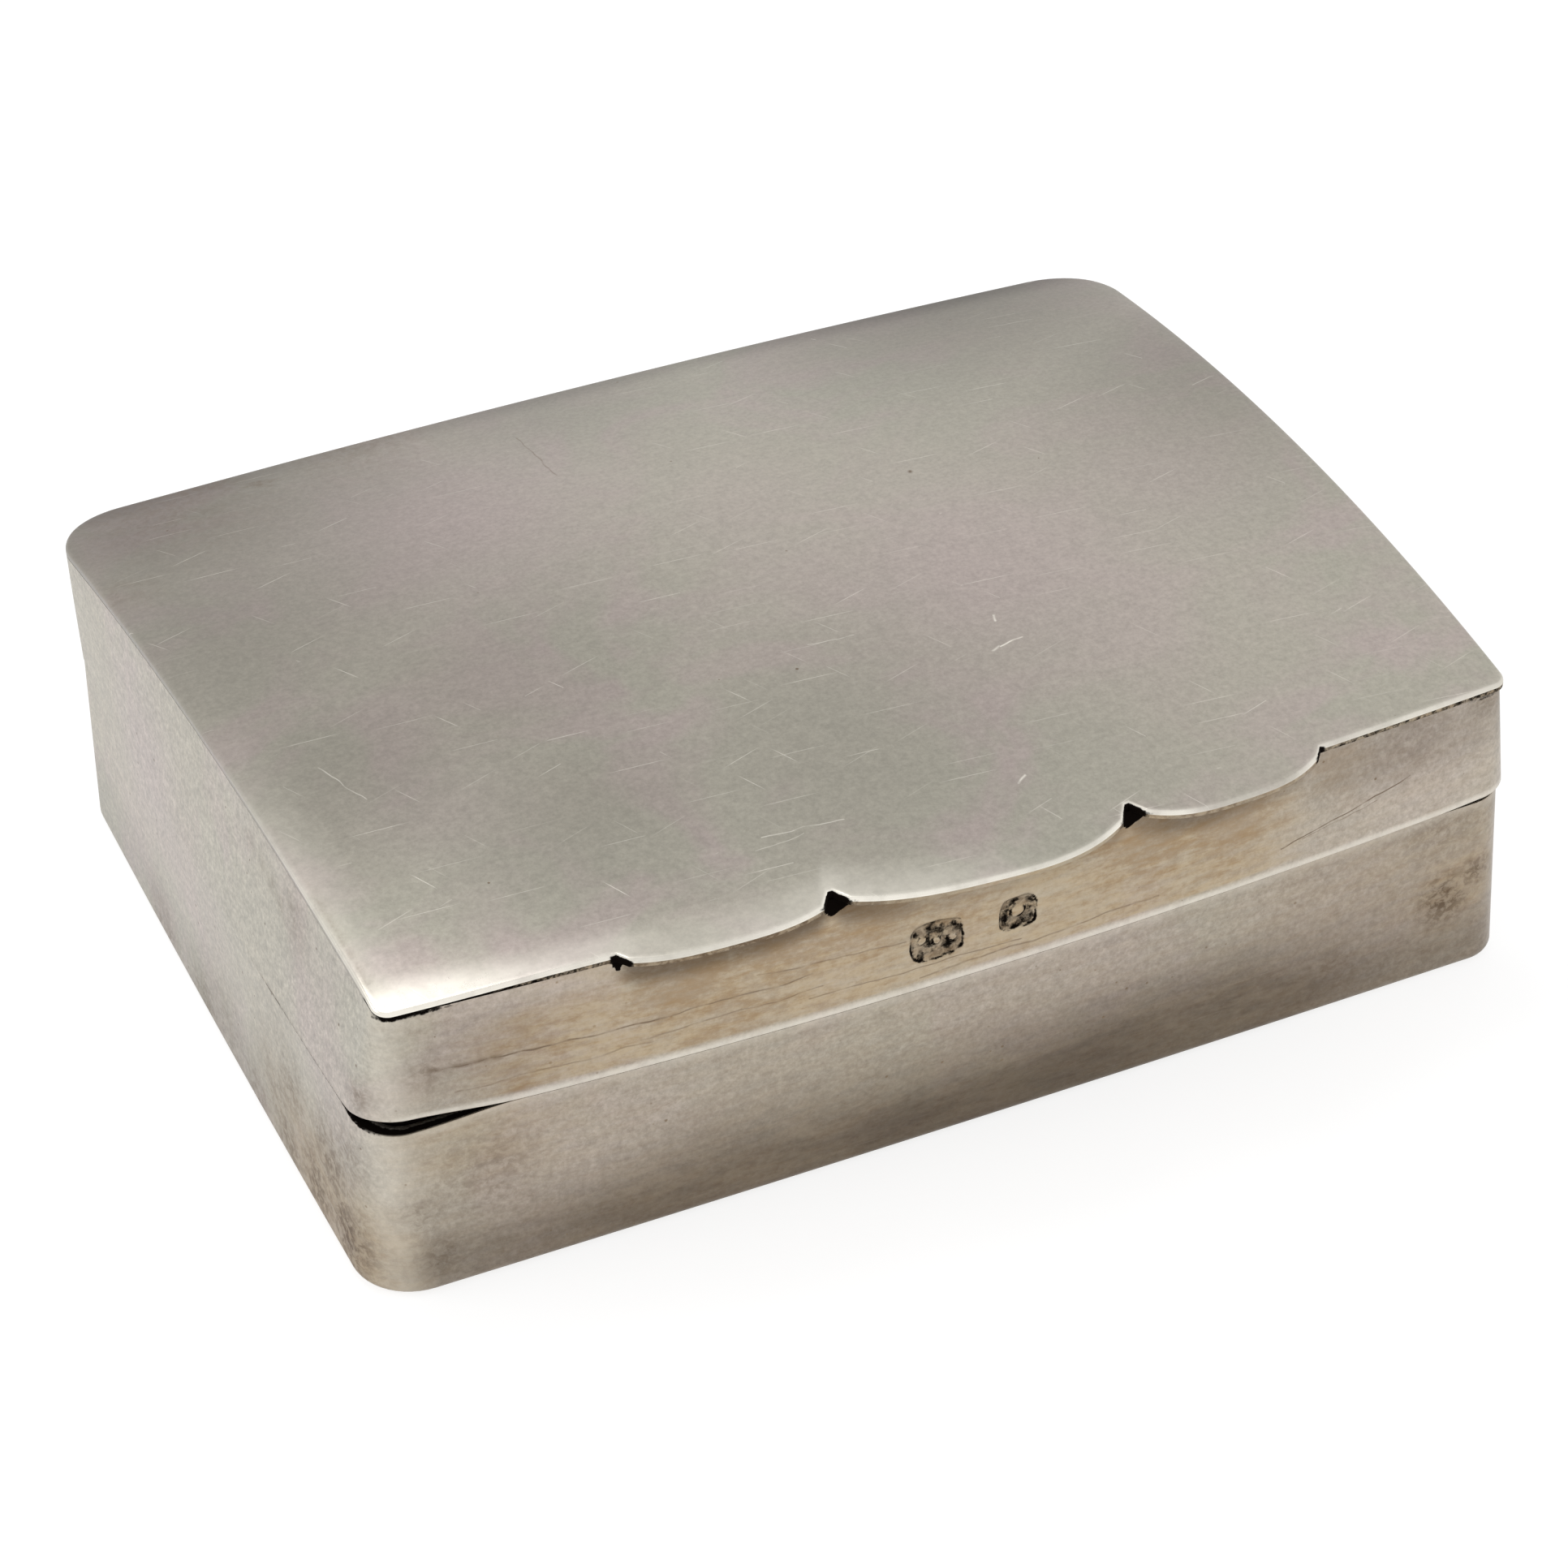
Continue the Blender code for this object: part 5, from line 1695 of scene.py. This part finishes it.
def inner_finish(name, colours, dirt_and_shade=()):
    """Dull silver of the pieces that polish doesn't reach."""
    tones = (colours.inner, colours.inner, colours.silver)
    look = Look(
        tones=tones,
        roughness=0.46,
        streak=(0.6, 4.0, 4.0),
        brushing=0.03,
        thin=1,
        grain=0.08,
        mottle=0.08,
        scratches=0.20,
        pits=0.40,
        pit_spacing=1.2,
    )
    return silver_finish(name, colours, look, dirt_and_shade=dirt_and_shade)


class SNUFFBOX_OT_lid_plate(bpy.types.Operator):
    """Makes the domed lid plate with its lobed thumb lip"""

    bl_idname = "snuffbox.lid_plate"
    bl_label = "Lid plate"

    def execute(self, context):
        sizes, lip = context.scene.snuff_box_sizes, context.scene.snuff_box_lip
        rings, marks = plate_rings(sizes, lip)
        piece = placed("lid_plate", bent_strip("lid_plate", rings, False, marks))
        paint_plate(piece, sizes, lip)
        dressed(piece, plate_finish(context.scene.snuff_box_colours))
        stand_for(piece, "lid_top_plate", "lid")
        return {"FINISHED"}


class SNUFFBOX_OT_lid_wall(bpy.types.Operator):
    """Makes the lid's wall with its rim bright from rubbing and a painted highlight, and two plain punch marks
    """

    bl_idname = "snuffbox.lid_wall"
    bl_label = "Lid wall"

    def execute(self, context):
        scene = context.scene
        sizes, lip = scene.snuff_box_sizes, scene.snuff_box_lip
        rings, marks = lid_wall_rings(sizes, lip)
        piece = placed("lid_wall", bent_strip("lid_wall", rings, True, marks))
        cut(piece, hinge_cutters(sizes, scene.snuff_box_hinge))
        paint_lid_wall(piece, sizes, lip)
        dressed(piece, wall_finish("lid_wall_silver", scene.snuff_box_colours, LID_SCRATCHES))
        stand_for(piece, "lid_wall_band", "lid")
        return {"FINISHED"}


class SNUFFBOX_OT_base_wall(bpy.types.Operator):
    """Makes the base's wall with its rounded foot"""

    bl_idname = "snuffbox.base_wall"
    bl_label = "Base wall"

    def execute(self, context):
        scene = context.scene
        sizes = scene.snuff_box_sizes
        rings, marks = base_wall_rings(sizes)
        piece = placed("base_wall", bent_strip("base_wall", rings, True, marks))
        cut(piece, hinge_cutters(sizes, scene.snuff_box_hinge))
        paint_base_wall(piece, sizes)
        dressed(piece, wall_finish("base_wall_silver", scene.snuff_box_colours))
        stand_for(piece, "base_wall_band", "base")
        return {"FINISHED"}


class SNUFFBOX_OT_inner_pieces(bpy.types.Operator):
    """Makes the floor plate, the bezel and the two hinge bearers with rounded edges"""

    bl_idname = "snuffbox.inner_pieces"
    bl_label = "Floor, bezel and bearers"

    def execute(self, context):
        colours = context.scene.snuff_box_colours
        floor = rounded(solid_copy("floor_plate", "base_floor_plate"), *FLOOR_ROUNDING)
        dressed(floor, wall_finish("floor_silver", colours))
        stand_for(floor, "base_floor_plate", "base")
        for name, node, body in (
            ("bezel", "base_bezel", "base"),
            ("base_bearer", "base_hinge_bearer", "base"),
            ("lid_bearer", "lid_hinge_bearer", "lid"),
        ):
            piece = rounded(solid_copy(name, node), *INNER_ROUNDING)
            # The bezel gets dark deposits and painted shade at its front corners
            dirt_and_shade = BEZEL_DIRT_AND_SHADE if name == "bezel" else ()
            dressed(piece, inner_finish(name + "_silver", colours, dirt_and_shade))
            stand_for(piece, node, body)
        return {"FINISHED"}


class SNUFFBOX_OT_hinge(bpy.types.Operator):
    """Makes the hinge's five knuckles and the pin through them"""

    bl_idname = "snuffbox.hinge"
    bl_label = "Hinge"

    def execute(self, context):
        scene = context.scene
        hinge = scene.snuff_box_hinge
        material = inner_finish("hinge_silver", scene.snuff_box_colours)
        for name, node, body in KNUCKLES:
            knuckle = placed(name, knuckle_mesh(name, hinge, *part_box(node)))
            stand_for(dressed(knuckle, material), node, body)
        pin = placed("pin", pin_mesh("pin", hinge, *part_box("hinge_pin")))
        stand_for(dressed(pin, material), "hinge_pin", "base")
        return {"FINISHED"}


# Studio

CAMERA_PLACE = (-50.489e-3, -120.019e-3, 95.415e-3)
CAMERA_TURN = (54.908, 1.804, -24.321)
CAMERA_LENS = 95.575
SENSOR_WIDTH = 36.0
NEAR_CLIP, FAR_CLIP = 0.01, 10.0
FLOOR_SIZE = 1.5
FLOOR_DROP = 0.02e-3
FLOOR_GLOW, FLOOR_TONE = 0.78, 0.44
WORLD_WHITE, WORLD_FILL = 1.0, 0.55

Lamp = namedtuple("Lamp", "name azimuth elevation distance width height strength")

LAMPS = (
    Lamp("overhead_softbox", -17, 71, 0.42, 0.14, 0.13, 2.9),
    Lamp("left_softbox", -75, 38, 0.55, 0.30, 0.25, 1.4),
)


def sky_direction(azimuth, elevation):
    """The direction to a place on the sky, with azimuth zero behind the box and growing to the right."""
    turn, climb = math.radians(azimuth), math.radians(elevation)
    return Vector(
        (math.sin(turn) * math.cos(climb), math.cos(turn) * math.cos(climb), math.sin(climb))
    )


def make_lamp(lamp):
    """A soft panel of light that faces the box, with a radiance given as its strength."""
    data = bpy.data.lights.new(lamp.name, "AREA")
    data.shape = "RECTANGLE"
    data.size = lamp.width
    data.size_y = lamp.height
    data.energy = lamp.strength * math.pi * lamp.width * lamp.height
    direction = sky_direction(lamp.azimuth, lamp.elevation)
    panel = placed(lamp.name, data)
    panel.location = direction * lamp.distance
    panel.rotation_euler = direction.to_track_quat("Z", "Y").to_euler()


def seen_ray(tree):
    """A share that is one for camera, glossy and transmission rays."""
    path = add_node(tree, "LightPath")
    total = path["Is Camera Ray"]
    for name in ("Is Glossy Ray", "Is Transmission Ray"):
        total = add_node(tree, "Math", {0: total, 1: path[name]}, operation="MAXIMUM")[0]
    return total


def floor_material():
    """Pale paper that glows towards the camera and in reflections, and keeps the box's shadow."""
    material = bpy.data.materials.new("pale_paper")
    material.use_nodes = True
    tree = material.node_tree
    tree.nodes.clear()
    paper = add_node(tree, "BsdfDiffuse", {"Color": (FLOOR_TONE,) * 3})
    strength = add_node(tree, "Math", {0: seen_ray(tree), 1: FLOOR_GLOW}, operation="MULTIPLY")
    glow = add_node(tree, "Emission", {"Strength": strength[0]})
    both = add_node(tree, "AddShader", {0: paper[0], 1: glow[0]})
    add_node(tree, "OutputMaterial", {"Surface": both[0]})
    return material


def make_world():
    """A pale world, white where the camera or a reflection sees it."""
    world = bpy.data.worlds.new("pale_studio")
    world.use_nodes = True
    background = world.node_tree.nodes["Background"].inputs
    seen = {"Value": seen_ray(world.node_tree), "To Min": WORLD_FILL, "To Max": WORLD_WHITE}
    feed(background["Color"], (1, 1, 1))
    feed(background["Strength"], add_node(world.node_tree, "MapRange", seen)["Result"])
    bpy.context.scene.world = world


def make_floor():
    """The sheet of pale paper that the box stands on."""
    shape = bmesh.new()
    bmesh.ops.create_grid(shape, x_segments=1, y_segments=1, size=FLOOR_SIZE)
    bmesh.ops.translate(shape, verts=shape.verts, vec=(0, 0, -FLOOR_DROP))
    floor = placed("floor", finished_mesh("floor", shape))
    dressed(floor, floor_material())


def make_camera():
    """The camera at the photograph's place."""
    data = bpy.data.cameras.new("camera")
    data.lens = CAMERA_LENS
    data.sensor_width = SENSOR_WIDTH
    data.clip_start = NEAR_CLIP
    data.clip_end = FAR_CLIP
    camera = placed("camera", data)
    camera.location = CAMERA_PLACE
    camera.rotation_euler = Euler([math.radians(angle) for angle in CAMERA_TURN])
    bpy.context.scene.camera = camera


class SNUFFBOX_OT_studio(bpy.types.Operator):
    """Makes the pale floor, the soft light and the camera"""

    bl_idname = "snuffbox.studio"
    bl_label = "Studio"

    def execute(self, context):
        context.scene.view_settings.view_transform = "Standard"
        make_world()
        make_floor()
        for lamp in LAMPS:
            make_lamp(lamp)
        make_camera()
        return {"FINISHED"}


OPERATORS = (
    SNUFFBOX_OT_lid_plate,
    SNUFFBOX_OT_lid_wall,
    SNUFFBOX_OT_base_wall,
    SNUFFBOX_OT_inner_pieces,
    SNUFFBOX_OT_hinge,
    SNUFFBOX_OT_studio,
)

GROUPS = (
    ("snuff_box_sizes", SnuffBoxSizes),
    ("snuff_box_lip", SnuffBoxLip),
    ("snuff_box_hinge", SnuffBoxHinge),
    ("snuff_box_colours", SnuffBoxColours),
)


class SNUFFBOX_PT_sidebar(bpy.types.Panel):
    """Lists the sizes, the colours and the pieces"""

    bl_idname = "SNUFFBOX_PT_sidebar"
    bl_label = "Snuff Box"
    bl_space_type = "VIEW_3D"
    bl_region_type = "UI"
    bl_category = "Snuff Box"

    def draw(self, context):
        for operator in OPERATORS:
            self.layout.operator(operator.bl_idname)
        for name, group in GROUPS:
            box = self.layout.box()
            for key in group.__annotations__:
                box.prop(getattr(context.scene, name), key)


def register():
    """Registers the property groups, operators and panel."""
    for name, group in GROUPS:
        bpy.utils.register_class(group)
        setattr(bpy.types.Scene, name, PointerProperty(type=group))
    for kind in (*OPERATORS, SNUFFBOX_PT_sidebar):
        bpy.utils.register_class(kind)


def unregister():
    """Removes what register added."""
    for kind in (SNUFFBOX_PT_sidebar, *OPERATORS[::-1]):
        bpy.utils.unregister_class(kind)
    for name, group in GROUPS[::-1]:
        delattr(bpy.types.Scene, name)
        bpy.utils.unregister_class(group)


def main():
    """Makes every piece and the studio."""
    register()
    bpy.ops.snuffbox.lid_plate()
    bpy.ops.snuffbox.lid_wall()
    bpy.ops.snuffbox.base_wall()
    bpy.ops.snuffbox.inner_pieces()
    bpy.ops.snuffbox.hinge()
    bpy.ops.snuffbox.studio()


if __name__ == "__main__":
    main()
